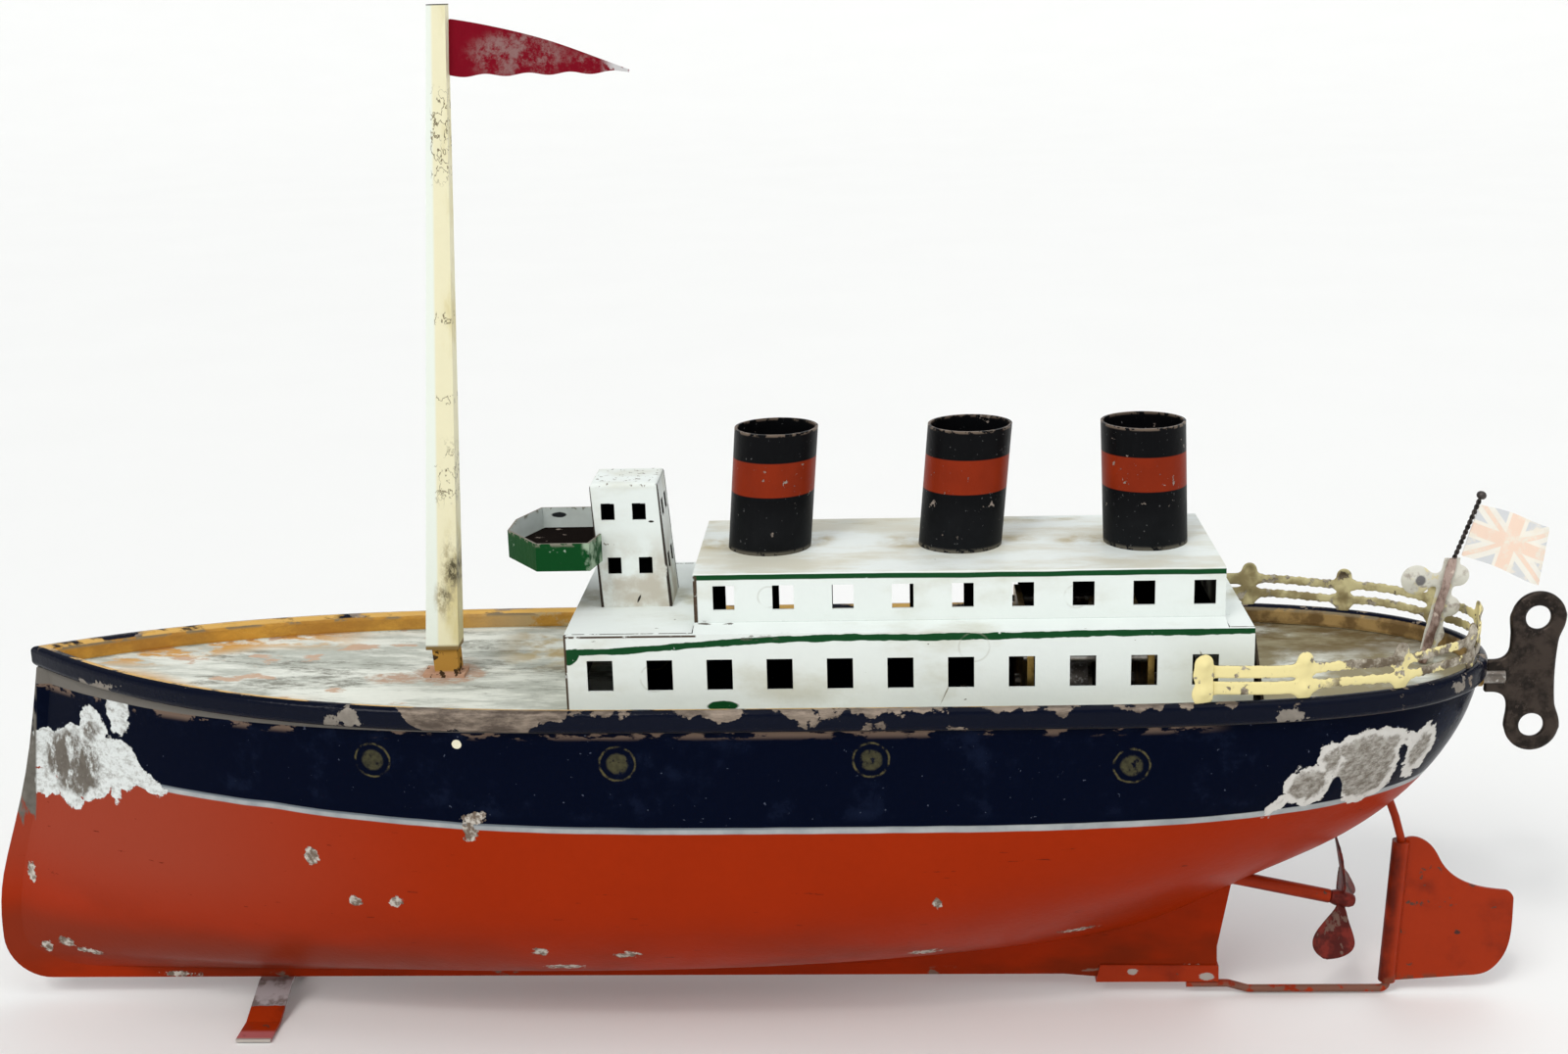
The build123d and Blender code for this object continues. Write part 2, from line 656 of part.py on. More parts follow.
with BuildPart() as winding_key:
    with BuildSketch(Plane.XZ):
        with BuildLine():
            Polyline((143.2, 64.4), (143.2, 71.0), (145.6, 71.2))
            Spline((145.6, 71.2), (147.9, 74.6), (147.6, 80.2), tangents=((1, 0.1), (0, 1)))
            Line((147.6, 80.2), (157.8, 80.2))
            Spline((157.8, 80.2), (156.1, 68.8), (157.4, 57.4), tangents=((-0.2, -1), (0.2, -1)))
            Line((157.4, 57.4), (147.4, 57.4))
            Spline((147.4, 57.4), (147.6, 61.2), (145.6, 64.1), tangents=((0, 1), (-1, 0.1)))
            Line((145.6, 64.1), (143.2, 64.4))
        make_face()
        with Locations(*KEY_EYES):
            Circle(KEY_EYE_RADIUS)
        with Locations(*KEY_EYES):
            Circle(KEY_HOLE_RADIUS, mode=Mode.SUBTRACT)
    extrude(amount=0.7, both=True)
    add(winding_arbor.part, mode=Mode.SUBTRACT)
winding_key.part.label = "winding_key"

with BuildPart() as key_bush:
    add(rod((138.6, ARBOR_Z), (142.3, ARBOR_Z), BUSH_RADIUS))
    add(rod((137, ARBOR_Z), (144, ARBOR_Z), ARBOR_RADIUS + RUNNING), mode=Mode.SUBTRACT)
key_bush.part.label = "key_bush"

# ================================================================ gear train
GREAT_RADIUS = MODULE * GREAT_TEETH / 2
SECOND_RADIUS = MODULE * SECOND_TEETH / 2
PINION_RADIUS = MODULE * PINION_TEETH / 2
OUTPUT_Z = shaft_z(COUPLING_X)
first_reach = GREAT_RADIUS + PINION_RADIUS
second_reach = SECOND_RADIUS + PINION_RADIUS
drop = ARBOR_Z - OUTPUT_Z
second_drop = (first_reach**2 - second_reach**2 + drop**2) / (2 * drop)
SECOND_AXIS = (sqrt(first_reach**2 - second_drop**2), ARBOR_Z - second_drop)
FIRST_AXIS = (0.0, ARBOR_Z)
OUTPUT_AXIS = (0.0, OUTPUT_Z)


def heading(origin, target):
    """Direction in degrees from one axis to another, seen along +X."""
    return degrees(atan2(target[1] - origin[1], target[0] - origin[0]))


def involute(angle):
    return tan(angle) - angle


def toothed_disc(teeth, facing, steps):
    """A gear outline with one tooth centred on the direction that it faces, in degrees."""
    pitch = MODULE * teeth / 2
    base = pitch * cos(PRESSURE)
    tip = pitch + ADDENDUM * MODULE
    root = pitch - DEDENDUM * MODULE
    start = max(base, root)
    middle = pi / (2 * teeth) - BACKLASH / (4 * pitch)

    def half_angle(radius):
        return middle + involute(PRESSURE) - involute(acos(min(1.0, base / radius)))

    radii = [start + (tip - start) * i / steps for i in range(steps + 1)]
    flank = [(radius, half_angle(radius)) for radius in radii]
    if start > root:
        flank.insert(0, (root, half_angle(start)))
    tooth = [(radius, -angle) for radius, angle in flank] + flank[::-1]
    points = []
    for i in range(teeth):
        turn = radians(facing) + 2 * pi * i / teeth
        points += [(radius * cos(turn + angle), radius * sin(turn + angle)) for radius, angle in tooth]
    with BuildSketch() as disc:
        with BuildLine():
            Polyline(*points, close=True)
        make_face()
    return disc.sketch


def wheel(axis, fore, thickness, teeth, facing, bore, steps=2):
    """A gear between two x stations on an axis along X, with a round bore."""
    with BuildPart() as gear:
        with BuildSketch(Plane.YZ.offset(fore)):
            with Locations(axis):
                add(toothed_disc(teeth, facing, steps))
                Circle(bore, mode=Mode.SUBTRACT)
        extrude(amount=thickness)
    return gear.part


def spindle(axis, fore, aft, radius):
    """A round bar along X on an axis."""
    with BuildPart() as bar:
        with BuildSketch(Plane.YZ.offset(fore)):
            with Locations(axis):
                Circle(radius)
        extrude(amount=aft - fore)
    return bar.part


half_pinion = 180 / PINION_TEETH

with BuildPart() as great_wheel:
    face_to = heading(FIRST_AXIS, SECOND_AXIS)
    add(wheel(FIRST_AXIS, GREAT_X, 1.2, GREAT_TEETH, face_to, ARBOR_RADIUS + RUNNING))
    with BuildSketch(Plane.YZ.offset(GREAT_X)):
        with Locations(FIRST_AXIS):
            with PolarLocations(10.8, 5, start_angle=36):
                Circle(3.0)
    extrude(amount=1.2, mode=Mode.SUBTRACT)
    with BuildSketch(Plane.YZ.offset(GREAT_X + 1.2)):
        with Locations(FIRST_AXIS):
            Circle(3.4)
            Circle(ARBOR_RADIUS + RUNNING, mode=Mode.SUBTRACT)
    extrude(amount=1.4)
great_wheel.part.label = "great_wheel"


def ratchet_disc():
    """The saw-toothed outline, steep on the side that holds."""
    root, tip = RATCHET_RADII
    corners = []
    for i in range(RATCHET_TEETH):
        turn = 2 * pi * i / RATCHET_TEETH
        corners.append((tip * cos(turn), tip * sin(turn)))
        corners.append((root * cos(turn + 0.06), root * sin(turn + 0.06)))
    with BuildSketch() as disc:
        with BuildLine():
            Polyline(*corners, close=True)
        make_face()
        Circle(ARBOR_RADIUS, mode=Mode.SUBTRACT)
    return disc.sketch


def click_leaf():
    """A springy leaf with its rivet's eye, drawn as it rides over the tip of a tooth."""
    with BuildSketch() as leaf:
        with BuildLine():
            nose = ((-2.2, 7.3), (-0.42, 6.55), (-0.12, 7.7))
            Polyline(*nose, (-6.0, 10.1), (-7.6, 8.6), (-6.4, 7.9), close=True)
        make_face()
        with Locations((-6.9, 9.2)):
            Circle(1.3)
    return leaf.sketch


def spiral_strip(inner, outer, turns, strip):
    """The coiled spring seen from its end."""
    sides = []
    for shift in (0.0, strip):
        curve = []
        for i in range(turns * 12 + 1):
            share = i / (turns * 12)
            radius = inner + (outer - inner) * share + shift
            curve.append((radius * cos(2 * pi * turns * share), radius * sin(2 * pi * turns * share)))
        sides.append(curve)
    with BuildSketch() as coil:
        with BuildLine():
            Spline(*sides[0])
            Spline(*sides[1])
            Line(sides[0][0], sides[1][0])
            Line(sides[0][-1], sides[1][-1])
        make_face()
    return coil.sketch


with BuildPart() as ratchet_wheel:
    with BuildSketch(Plane.YZ.offset(RATCHET_X)):
        with Locations(FIRST_AXIS):
            add(ratchet_disc())
    extrude(amount=1.0)
ratchet_wheel.part.label = "ratchet_wheel"

with BuildPart() as click:
    with BuildSketch(Plane.YZ.offset(RATCHET_X)):
        with Locations(FIRST_AXIS):
            add(click_leaf())
    extrude(amount=GREAT_X - RATCHET_X)
click.part.label = "click"

with BuildPart() as mainspring:
    with BuildSketch(Plane.YZ.offset(SPRING_X)):
        with Locations(FIRST_AXIS):
            add(spiral_strip(ARBOR_RADIUS + 0.2, SPRING_RADIUS, 9, 0.4))
    extrude(amount=SPRING_WIDTH)
mainspring.part.label = "mainspring"

with BuildPart() as second_arbor:
    facing = heading(SECOND_AXIS, FIRST_AXIS) + half_pinion
    add(spindle(SECOND_AXIS, PLATE_X[0] - 0.8, PLATE_X[1] + PLATE + 0.8, PIVOT_RADIUS))
    add(wheel(SECOND_AXIS, GREAT_X - 0.6, SECOND_X - GREAT_X + 0.6, PINION_TEETH, facing, 0.4, steps=4))
second_arbor.part.label = "second_arbor"

with BuildPart() as second_wheel:
    facing = heading(SECOND_AXIS, OUTPUT_AXIS)
    add(wheel(SECOND_AXIS, SECOND_X, 1.0, SECOND_TEETH, facing, PIVOT_RADIUS))
    with BuildSketch(Plane.YZ.offset(SECOND_X)):
        with Locations(SECOND_AXIS):
            with PolarLocations(9.0, 5):
                Circle(2.8)
    extrude(amount=1.0, mode=Mode.SUBTRACT)
second_wheel.part.label = "second_wheel"

with BuildPart() as output_arbor:
    facing = heading(OUTPUT_AXIS, SECOND_AXIS) + half_pinion
    add(spindle(OUTPUT_AXIS, PLATE_X[0] - 0.8, COUPLING_X - 1.6, PIVOT_RADIUS))
    add(wheel(OUTPUT_AXIS, SECOND_X - 0.8, 2.6, PINION_TEETH, facing, 0.4, steps=4))
output_arbor.part.label = "output_arbor"

with BuildPart() as drive_blade:
    with Locations((COUPLING_X - 0.7, 0, OUTPUT_Z)):
        Box(3.4, 1.0, 4.4)
    add(output_arbor.part, mode=Mode.SUBTRACT)
drive_blade.part.label = "drive_blade"

# ================================================================ motor frame


def outside_plating(fore):
    """What of a plate's foot lies in or beyond the plating."""
    with BuildPart() as beyond:
        with Locations((fore + PLATE / 2, 0, 14)):
            Box(PLATE, 60, 30)
        add(inner_port, mode=Mode.SUBTRACT)
        add(mirror(inner_port, about=Plane.XZ, mode=Mode.PRIVATE), mode=Mode.SUBTRACT)
    return beyond.part


def motor_plate(fore):
    """A plate across the hull, cut at its foot to the inside of the plating."""
    with BuildPart() as plate:
        with BuildSketch(Plane.YZ.offset(fore)) as outline:
            with BuildLine():
                Polyline((0, 82), (20.6, 82), (20.6, 46), (12.6, 27), (8, 8), (0, 8), close=True)
            make_face()
            mirror(about=Plane.YZ)
            fillet(outline.vertices().group_by(Axis.Z)[-1], 2.5)
            with Locations(FIRST_AXIS):
                Circle(ARBOR_RADIUS + RUNNING, mode=Mode.SUBTRACT)
            with Locations(SECOND_AXIS, OUTPUT_AXIS):
                Circle(PIVOT_RADIUS + RUNNING, mode=Mode.SUBTRACT)
            with Locations(*PILLARS):
                Circle(RIVET_RADIUS, mode=Mode.SUBTRACT)
        extrude(amount=PLATE)
        add(outside_plating(fore), mode=Mode.SUBTRACT)
    return plate.part


with BuildPart() as motor_plate_fore:
    add(motor_plate(PLATE_X[0]))
motor_plate_fore.part.label = "motor_plate_fore"

with BuildPart() as motor_plate_aft:
    add(motor_plate(PLATE_X[1]))
motor_plate_aft.part.label = "motor_plate_aft"

with BuildPart() as motor_pillars:
    for axis in PILLARS:
        add(spindle(axis, PLATE_X[0] + PLATE, PLATE_X[1], PILLAR_RADIUS))
        add(spindle(axis, PLATE_X[0] - 0.6, PLATE_X[1] + PLATE + 0.6, RIVET_RADIUS))
motor_pillars.part.label = "motor_pillars"

pieces = (
    hull_port, hull_starboard, skeg_shoe, deck, front_stand, cabin_shell, cabin_front, cabin_aft,
    bridge_tower, bridge_parapet, bridge_floor, mast, mast_foot, pennant, stern_rail,
    staff_bracket, flagstaff, ensign, rudder_post, rudder, stern_tube, propeller,
    propeller_shaft, shaft_cup, winding_arbor, winding_key, key_bush, great_wheel,
    ratchet_wheel, click, mainspring, second_arbor, second_wheel, output_arbor, drive_blade,
    motor_plate_fore, motor_plate_aft, motor_pillars,
)

os.makedirs("parts", exist_ok=True)
for piece in [builder.part for builder in pieces] + list(funnels.values()):
    export_step(piece, f"parts/{piece.label}.step")
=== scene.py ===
"""Looks of the clockwork tinplate liner: every material, and the pieces that need finer shapes than the frame's.

Positions are in metres in the row frame. Patterns and the outlines of sheet pieces are laid out in millimetres.
"""

import math

import bmesh
import bpy
import numpy as np
from mathutils import Matrix, Vector


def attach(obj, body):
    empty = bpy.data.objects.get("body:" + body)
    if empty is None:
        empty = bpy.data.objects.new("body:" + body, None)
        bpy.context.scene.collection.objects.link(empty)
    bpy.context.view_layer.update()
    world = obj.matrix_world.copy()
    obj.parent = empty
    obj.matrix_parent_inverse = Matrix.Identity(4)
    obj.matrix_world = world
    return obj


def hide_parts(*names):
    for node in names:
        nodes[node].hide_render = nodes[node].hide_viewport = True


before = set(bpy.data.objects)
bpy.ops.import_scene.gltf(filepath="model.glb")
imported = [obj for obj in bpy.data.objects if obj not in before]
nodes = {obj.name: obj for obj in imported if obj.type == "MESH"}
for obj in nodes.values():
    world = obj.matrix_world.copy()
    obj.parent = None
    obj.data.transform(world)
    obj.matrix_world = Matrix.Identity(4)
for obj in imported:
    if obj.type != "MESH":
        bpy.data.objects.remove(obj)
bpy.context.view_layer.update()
scene = bpy.context.scene
scene.view_settings.view_transform = "Standard"


# ---------------------------------------------------------------- camera, light, floor
def look_along(yaw, down, roll):
    """A camera's rotation: yaw to the right of +Y, tilt below the horizon and roll, in degrees."""
    y, e, r = (math.radians(v) for v in (yaw, down, roll))
    ahead = Vector((math.sin(y) * math.cos(e), math.cos(y) * math.cos(e), -math.sin(e)))
    level = Vector((math.cos(y), -math.sin(y), 0))
    above = level.cross(ahead)
    right = level * math.cos(r) + above * math.sin(r)
    up = above * math.cos(r) - level * math.sin(r)
    return Matrix((right, up, -ahead)).transposed()


LENS = 46.55
CAMERA_PLACE = (0.0274, -0.3786, 0.2023)
CAMERA_TURN = (-3.02, 15.13, -1.63)  # yaw, tilt down and roll, in degrees

camera = bpy.data.objects.new("camera", bpy.data.cameras.new("camera"))
scene.collection.objects.link(camera)
camera.data.sensor_width = 36
camera.data.lens = LENS
camera.data.clip_start = 0.02
camera.data.clip_end = 60
camera.matrix_world = Matrix.Translation(CAMERA_PLACE) @ look_along(*CAMERA_TURN).to_4x4()
scene.camera = camera


def soft_light(name, azimuth, height, spread, strength, colour=(1, 1, 1)):
    """A broad distant light from an azimuth (0 is in front, 90 aft) and a height above the horizon, in degrees."""
    lamp = bpy.data.objects.new(name, bpy.data.lights.new(name, "SUN"))
    lamp.data.energy = strength
    lamp.data.angle = math.radians(spread)
    lamp.data.color = colour
    a, h = math.radians(azimuth), math.radians(height)
    source = Vector((math.sin(a) * math.cos(h), -math.cos(a) * math.cos(h), math.sin(h)))
    lamp.rotation_euler = (-source).to_track_quat("-Z", "Y").to_euler()
    scene.collection.objects.link(lamp)
    return lamp


soft_light("window", -32, 44, 28, 1.15, (1.0, 0.99, 0.97))
soft_light("pane", -24, 50, 5, 0.28, (1.0, 0.99, 0.97))
soft_light("ceiling", 60, 74, 60, 0.75)
soft_light("fill", 55, 30, 50, 0.35, (0.95, 0.97, 1.0))
soft_light("back", 160, 40, 50, 0.45)

world = bpy.data.worlds.new("world")
scene.world = world
world.use_nodes = True
world.node_tree.nodes["Background"].inputs["Color"].default_value = (0.93, 0.96, 1.0, 1)
world.node_tree.nodes["Background"].inputs["Strength"].default_value = 0.42


# ---------------------------------------------------------------- materials
def rgb(r, g, b):
    """A display colour, 0 to 255, as linear light."""
    values = [v / 255 for v in (r, g, b)]
    return tuple(v / 12.92 if v <= 0.04045 else ((v + 0.055) / 1.055) ** 2.4 for v in values)


WHITE = (226, 232, 228)
NAVY = (3, 8, 26)
RED = (152, 40, 4)
GREEN = (10, 66, 30)
CREAM = (233, 219, 158)
OCHRE = (204, 152, 62)
# Painted shade: near black for the insides of the cabins, the tower and the mast top, which stand in shadow.
PAINTED_INSIDE_SHADE = (10, 10, 10)


class Value:
    """A number, colour or vector that changes over a surface: one node's output, with arithmetic that adds nodes."""

    def __init__(self, look, socket):
        self.look, self.socket = look, socket

    def __add__(self, other):
        return self.look.calc("ADD", self, other)

    def __radd__(self, other):
        return self.look.calc("ADD", other, self)

    def __sub__(self, other):
        return self.look.calc("SUBTRACT", self, other)

    def __rsub__(self, other):
        return self.look.calc("SUBTRACT", other, self)

    def __mul__(self, other):
        return self.look.calc("MULTIPLY", self, other)

    def __rmul__(self, other):
        return self.look.calc("MULTIPLY", other, self)

    def __truediv__(self, other):
        return self.look.calc("DIVIDE", self, other)

    def __abs__(self):
        return self.look.calc("ABSOLUTE", self)

    def soft(self, low, high):
        """0 below low, 1 above high and smooth between; low may be above high."""
        node = self.look.tree.nodes.new("ShaderNodeMapRange")
        node.interpolation_type = "SMOOTHSTEP"
        return self.look.fill(node, {0: self, 1: low, 2: high, 3: 0.0, 4: 1.0})

    def between(self, low, high, edge=0.12):
        """1 between two limits."""
        return self.soft(low - edge, low + edge) * self.soft(high + edge, high - edge)

    def ragged(self, wobble=1.0, scale=0.5, edge=0.12, shift=0.0):
        """A mask from a distance in millimetres, with an irregular outline."""
        rough_edge = self.look.grain(scale, 6.0, 0.65, shift=shift) - 0.5
        return self.look.calc("MULTIPLY_ADD", rough_edge, 2.0 * wobble, self).soft(-edge, edge)


class Look:
    """One material, built up in layers of colour, roughness, metal and height.

    Lengths are in millimetres, colours are display colours from 0 to 255, and masks multiply where both must hold.
    """

    def __init__(self, name, colour, rough=0.4, metal=0.0, shine=0.3):
        self.material = bpy.data.materials.new(name)
        self.material.use_nodes = True
        self.tree = self.material.node_tree
        self.tree.nodes.clear()
        self.shader = self.tree.nodes.new("ShaderNodeBsdfPrincipled")
        output = self.tree.nodes.new("ShaderNodeOutputMaterial")
        self.tree.links.new(self.shader.outputs[0], output.inputs["Surface"])
        coords = self.tree.nodes.new("ShaderNodeTexCoord")
        self.place = self.vector("SCALE", {0: Value(self, coords.outputs["Object"]), "Scale": 1000.0})
        self.x, self.y, self.z = self.split(self.place)
        self.nx, self.ny, self.nz = self.split(Value(self, coords.outputs["Normal"]))
        self.colour, self.rough, self.metal, self.shine, self.height = colour, rough, metal, shine, None

    def put(self, socket, value):
        """A value is linked, and a constant is set on the socket itself."""
        if isinstance(value, Value):
            self.tree.links.new(value.socket, socket)
        elif isinstance(value, tuple) and len(socket.default_value) == 4:
            socket.default_value = (*rgb(*value), 1)
        else:
            socket.default_value = value

    def fill(self, node, inputs, output=0):
        for key, value in inputs.items():
            self.put(node.inputs[key], value)
        return Value(self, node.outputs[output])

    def split(self, vector):
        node = self.tree.nodes.new("ShaderNodeSeparateXYZ")
        self.fill(node, {0: vector})
        return [Value(self, socket) for socket in node.outputs]

    def vector(self, operation, inputs):
        node = self.tree.nodes.new("ShaderNodeVectorMath")
        node.operation = operation
        return self.fill(node, inputs)

    def calc(self, operation, a, b=0.0, c=0.0):
        node = self.tree.nodes.new("ShaderNodeMath")
        node.operation = operation
        return self.fill(node, {0: a, 1: b, 2: c})

    def either(self, *masks):
        made = masks[0]
        for mask in masks[1:]:
            made = self.calc("MAXIMUM", made, mask)
        return made

    def grain(self, scale, detail=4.0, rough=0.55, stretch=1.0, shift=0.0):
        """Noise from 0 to 1 with that many features per millimetre; stretch is along x, or along x, y and z."""
        stretch = stretch if isinstance(stretch, tuple) else (stretch, 1.0, 1.0)
        spread = self.vector("MULTIPLY", {0: self.place, 1: stretch})
        moved = self.vector("ADD", {0: spread, 1: (shift, shift * 0.7, shift * 0.3)})
        node = self.tree.nodes.new("ShaderNodeTexNoise")
        return self.fill(node, {"Vector": moved, "Scale": scale, "Detail": detail, "Roughness": rough})

    def flakes(self, threshold, scale=0.25, detail=8.0, shift=0.0, edge=0.008, stretch=1.0):
        """Scattered irregular chips."""
        return self.grain(scale, detail, 0.6, stretch, shift).soft(threshold - edge, threshold + edge)

    def mix(self, mask, a, b):
        node = self.tree.nodes.new("ShaderNodeMix")
        node.data_type = "RGBA"
        return self.fill(node, {0: mask, 6: a, 7: b}, 2)

    def level(self, mask, a, b):
        """A number that goes from a to b with the mask."""
        node = self.tree.nodes.new("ShaderNodeMix")
        node.data_type = "FLOAT"
        return self.fill(node, {0: mask, 2: a, 3: b})

    def lay(self, mask, colour, rough=None, metal=None, height=None, shine=None):
        """Puts a layer over what is there, where the mask is 1."""
        self.colour = self.mix(mask, self.colour, colour)
        if rough is not None:
            self.rough = self.level(mask, self.rough, rough)
        if metal is not None:
            self.metal = self.level(mask, self.metal, metal)
        if shine is not None:
            self.shine = self.level(mask, self.shine, shine)
        if height is not None:
            self.height = self.level(mask, 0.0 if self.height is None else self.height, height)

    def tint(self, amount, scale, shift=0.0):
        """Makes the colour a little lighter and darker in clouds."""
        cloud = self.grain(scale, 3.0, 0.5, shift=shift)
        node = self.tree.nodes.new("ShaderNodeHueSaturation")
        value = self.level(cloud, 1.0 - amount, 1.0 + amount)
        self.colour = self.fill(node, {"Color": self.colour, "Value": value})

    def field(self, spots, u=None, v=None):
        """How far inside the nearest of some ellipses a point is: (across, up, half width, half height, tilt)."""
        u = self.x if u is None else u
        v = self.z if v is None else v
        made = None
        for across, up, wide, tall, *tilt in spots:
            turn = math.radians(tilt[0] if tilt else 0.0)
            du, dv = u - float(across), v - float(up)
            along = du * (math.cos(turn) / wide) + dv * (math.sin(turn) / wide)
            aside = dv * (math.cos(turn) / tall) - du * (math.sin(turn) / tall)
            inside = (1.0 - self.calc("SQRT", along * along + aside * aside)) * float(min(wide, tall))
            made = inside if made is None else self.calc("MAXIMUM", made, inside)
        return made

    def make(self, bump=0.06, *names):
        """Wires the layers to the shader and gives the material to CAD nodes."""
        inputs = self.shader.inputs
        self.put(inputs["Base Color"], self.colour)
        self.put(inputs["Roughness"], self.rough)
        self.put(inputs["Metallic"], self.metal)
        self.put(inputs["Specular IOR Level"], self.shine)
        if self.height is not None:
            node = self.tree.nodes.new("ShaderNodeBump")
            depth = {"Strength": 1.0, "Distance": bump / 1000, "Height": self.height}
            self.put(inputs["Normal"], self.fill(node, depth))
        for name in names:
            wear(nodes[name], self.material)
        return self.material


def wear(obj, material):
    """The object's only material."""
    obj.data.materials.clear()
    obj.data.materials.append(material)


def enamel(name, colour, rough=0.28, shine=0.25, shade=0.08):
    """Old gloss enamel with faint clouds and orange peel."""
    look = Look(name, colour, rough, 0.0, shine)
    look.tint(shade, 0.05)
    look.tint(shade * 0.6, 0.6, shift=4)
    look.height = look.grain(0.9, 2)
    look.rough = look.level(look.grain(0.12, 3, shift=2), rough - 0.07, rough + 0.13)
    return look


GUNWALE = 74.1  # height of the deck's edge amidships

# ---------------------------------------------------------------- hull
PORTHOLES = ((-69.3, 63.5), (-22.9, 63.5), (23.8, 63.9), (71.3, 62.0))


def hull_material():
    look = enamel("hull_paint", RED, 0.34, 0.05)
    port = look.y.soft(0.1, -0.1)
    look.lay(look.x.soft(-50, -125) * look.z.soft(18, 40), (148, 58, 38))
    # Patchy darker red, more of it towards the keel.
    low_dark_patches = look.grain(0.06, 5, stretch=0.4).soft(0.42, 0.72)
    look.lay(low_dark_patches * look.z.soft(34, 10), (112, 34, 8))
    # A darker red band low on the bow, where the hull turns under: painted shade.
    look.lay(look.z.between(8.5, 21, 4) * look.x.soft(-20, -90), (126, 42, 20))
    hairs = look.flakes(0.7, 0.5, 4, 21, 0.004, (0.25, 1, 2.5))
    look.lay(hairs, (104, 28, 8))

    rise = look.x.soft(-20, -120) * 3.4
    wander = (look.grain(0.05, 2) - 0.5) * 0.7
    line = 50.4 + rise + wander
    above = look.z - line
    look.lay(above.soft(-0.12, 0.12), NAVY, 0.22, shine=0.02)
    cloudy = above.soft(0.5, 3) * look.grain(0.09, 6, 0.65, shift=40).soft(0.52, 0.74)
    look.lay(cloudy, (14, 22, 42), 0.4)
    specks = look.flakes(0.72, 0.8, 3, 33, 0.01)
    look.lay(specks * above.soft(0.5, 1), (70, 76, 92), 0.5)
    stripe = above.between(-1.15, 0.15, 0.14)
    look.lay(stripe, look.mix(look.grain(0.2, 5, shift=3), (112, 120, 126), (190, 192, 190)), 0.4)
    look.lay(stripe * above.soft(-0.45, 0.1) * look.x.soft(60, -20), (92, 102, 110))

    for x, z in PORTHOLES:
        across = look.x - x
        up = look.z - z
        out = look.calc("SQRT", across * across + up * up)
        out = out + (look.grain(0.9, 4, shift=x) - 0.5) * 0.5
        worn = look.grain(0.35, 6, 0.7, shift=5 + x).soft(0.42, 0.6)
        ring = out.between(3.15, 3.5, 0.14) * worn
        look.lay(ring, (86, 80, 54), 0.4, metal=0.2)
        disc_worn = out.soft(2.3, 1.7) * look.grain(0.6, 6, 0.7, shift=x).soft(0.36, 0.5)
        look.lay(disc_worn, look.mix(look.grain(0.9, 5), (14, 18, 26), (88, 84, 58)), 0.45)

    bow = (
        (-134, 55, 8.8, 7.6), (-125, 56.5, 6, 5.4), (-130.4, 63.2, 3.4, 4.2), (-123.4, 67.4, 2.7, 4.8),
        (-119, 54.2, 5.6, 1.8, -24), (-126, 50.8, 1.5, 2.2), (-137.2, 48.6, 3, 3.6), (-144.5, 49, 4, 3),
        (-143.6, 55.5, 4.4, 5),
    )
    bow_patch = look.field(bow).ragged(2, 0.36, 0.1, 7) * port
    stern_shape = (
        (99.3, 52, 3.9, 1.2, 48), (104.6, 55.4, 4.9, 4.4, 20), (108.8, 60.4, 2.9, 3.8), (116, 57.4, 6.8, 8.8),
        (112.8, 62, 4, 3.2, 20), (120.6, 62.4, 3.4, 2.6), (127, 58.4, 3, 6.4, -14), (123.8, 62, 2.2, 1.6),
    )
    stern_inside = look.field(stern_shape)
    stern_patch = stern_inside.ragged(2.1, 0.33, 0.1, 3) * port
    low_notch = look.field(((110.2, 52, 1.5, 4.4),)).ragged(0.3, 0.6, 0.1)
    stern_patch = stern_patch * (1 - low_notch)
    starboard = ((-130, 60, 5, 3, 30), (-125.6, 63, 2.2, 3.4), (108, 56, 5, 2.2, 30), (113, 60, 2.4, 3))
    starboard_patch = look.field(starboard).ragged(3.6, 0.34, 0.1, 17) * (1 - port)
    fine = look.grain(0.55, 8, 0.75, (1, 1, 1.6), 1).soft(0.44, 0.7)
    for patch in (bow_patch, starboard_patch):
        look.lay(patch, look.mix(fine, (218, 222, 220), (150, 148, 142)), 0.45, metal=0.15, height=-0.8)
    # Darker brown-grey streaks inside the bow's bare patch.
    brown = look.field(((-136.5, 54.5, 7, 6.4), (-131, 62, 1.6, 2.2))).ragged(2.6, 0.35, 0.9, 11)
    dark_brown_grey = look.mix(look.grain(0.4, 7, 0.7, shift=4), (134, 128, 120), (64, 56, 46))
    look.lay(bow_patch * brown * look.grain(0.22, 8, 0.75, (1, 1, 0.7), 8).soft(0.4, 0.52), dark_brown_grey, 0.5)
    look.lay(
        stern_patch, look.mix(look.grain(0.5, 6), (196, 192, 186), (222, 220, 214)), 0.45, metal=0.1, height=-0.8
    )
    core = (stern_inside - 1.3).ragged(2.4, 0.4, 0.5, 6)
    speckled = look.mix(look.grain(0.9, 8, 0.8, 0.6, 5).soft(0.36, 0.64), (176, 172, 164), (112, 104, 94))
    look.lay(stern_patch * core, speckled, 0.5, metal=0.1)

    stem_x = look.x - (look.z - 66) * 0.123
    stem = (
        stem_x.soft(-144.2, -144.7)
        * look.calc("MULTIPLY_ADD", look.grain(0.4, 5, stretch=(2, 1, 0.3)), 16, look.z).soft(48, 49)
    )
    stem = stem * look.grain(0.3, 6, stretch=(2, 1, 0.4), shift=6).soft(0.34, 0.44)
    look.lay(stem, look.mix(look.grain(0.5, 6), (132, 128, 120), (70, 66, 60)), 0.45, metal=0.3, height=-0.5)

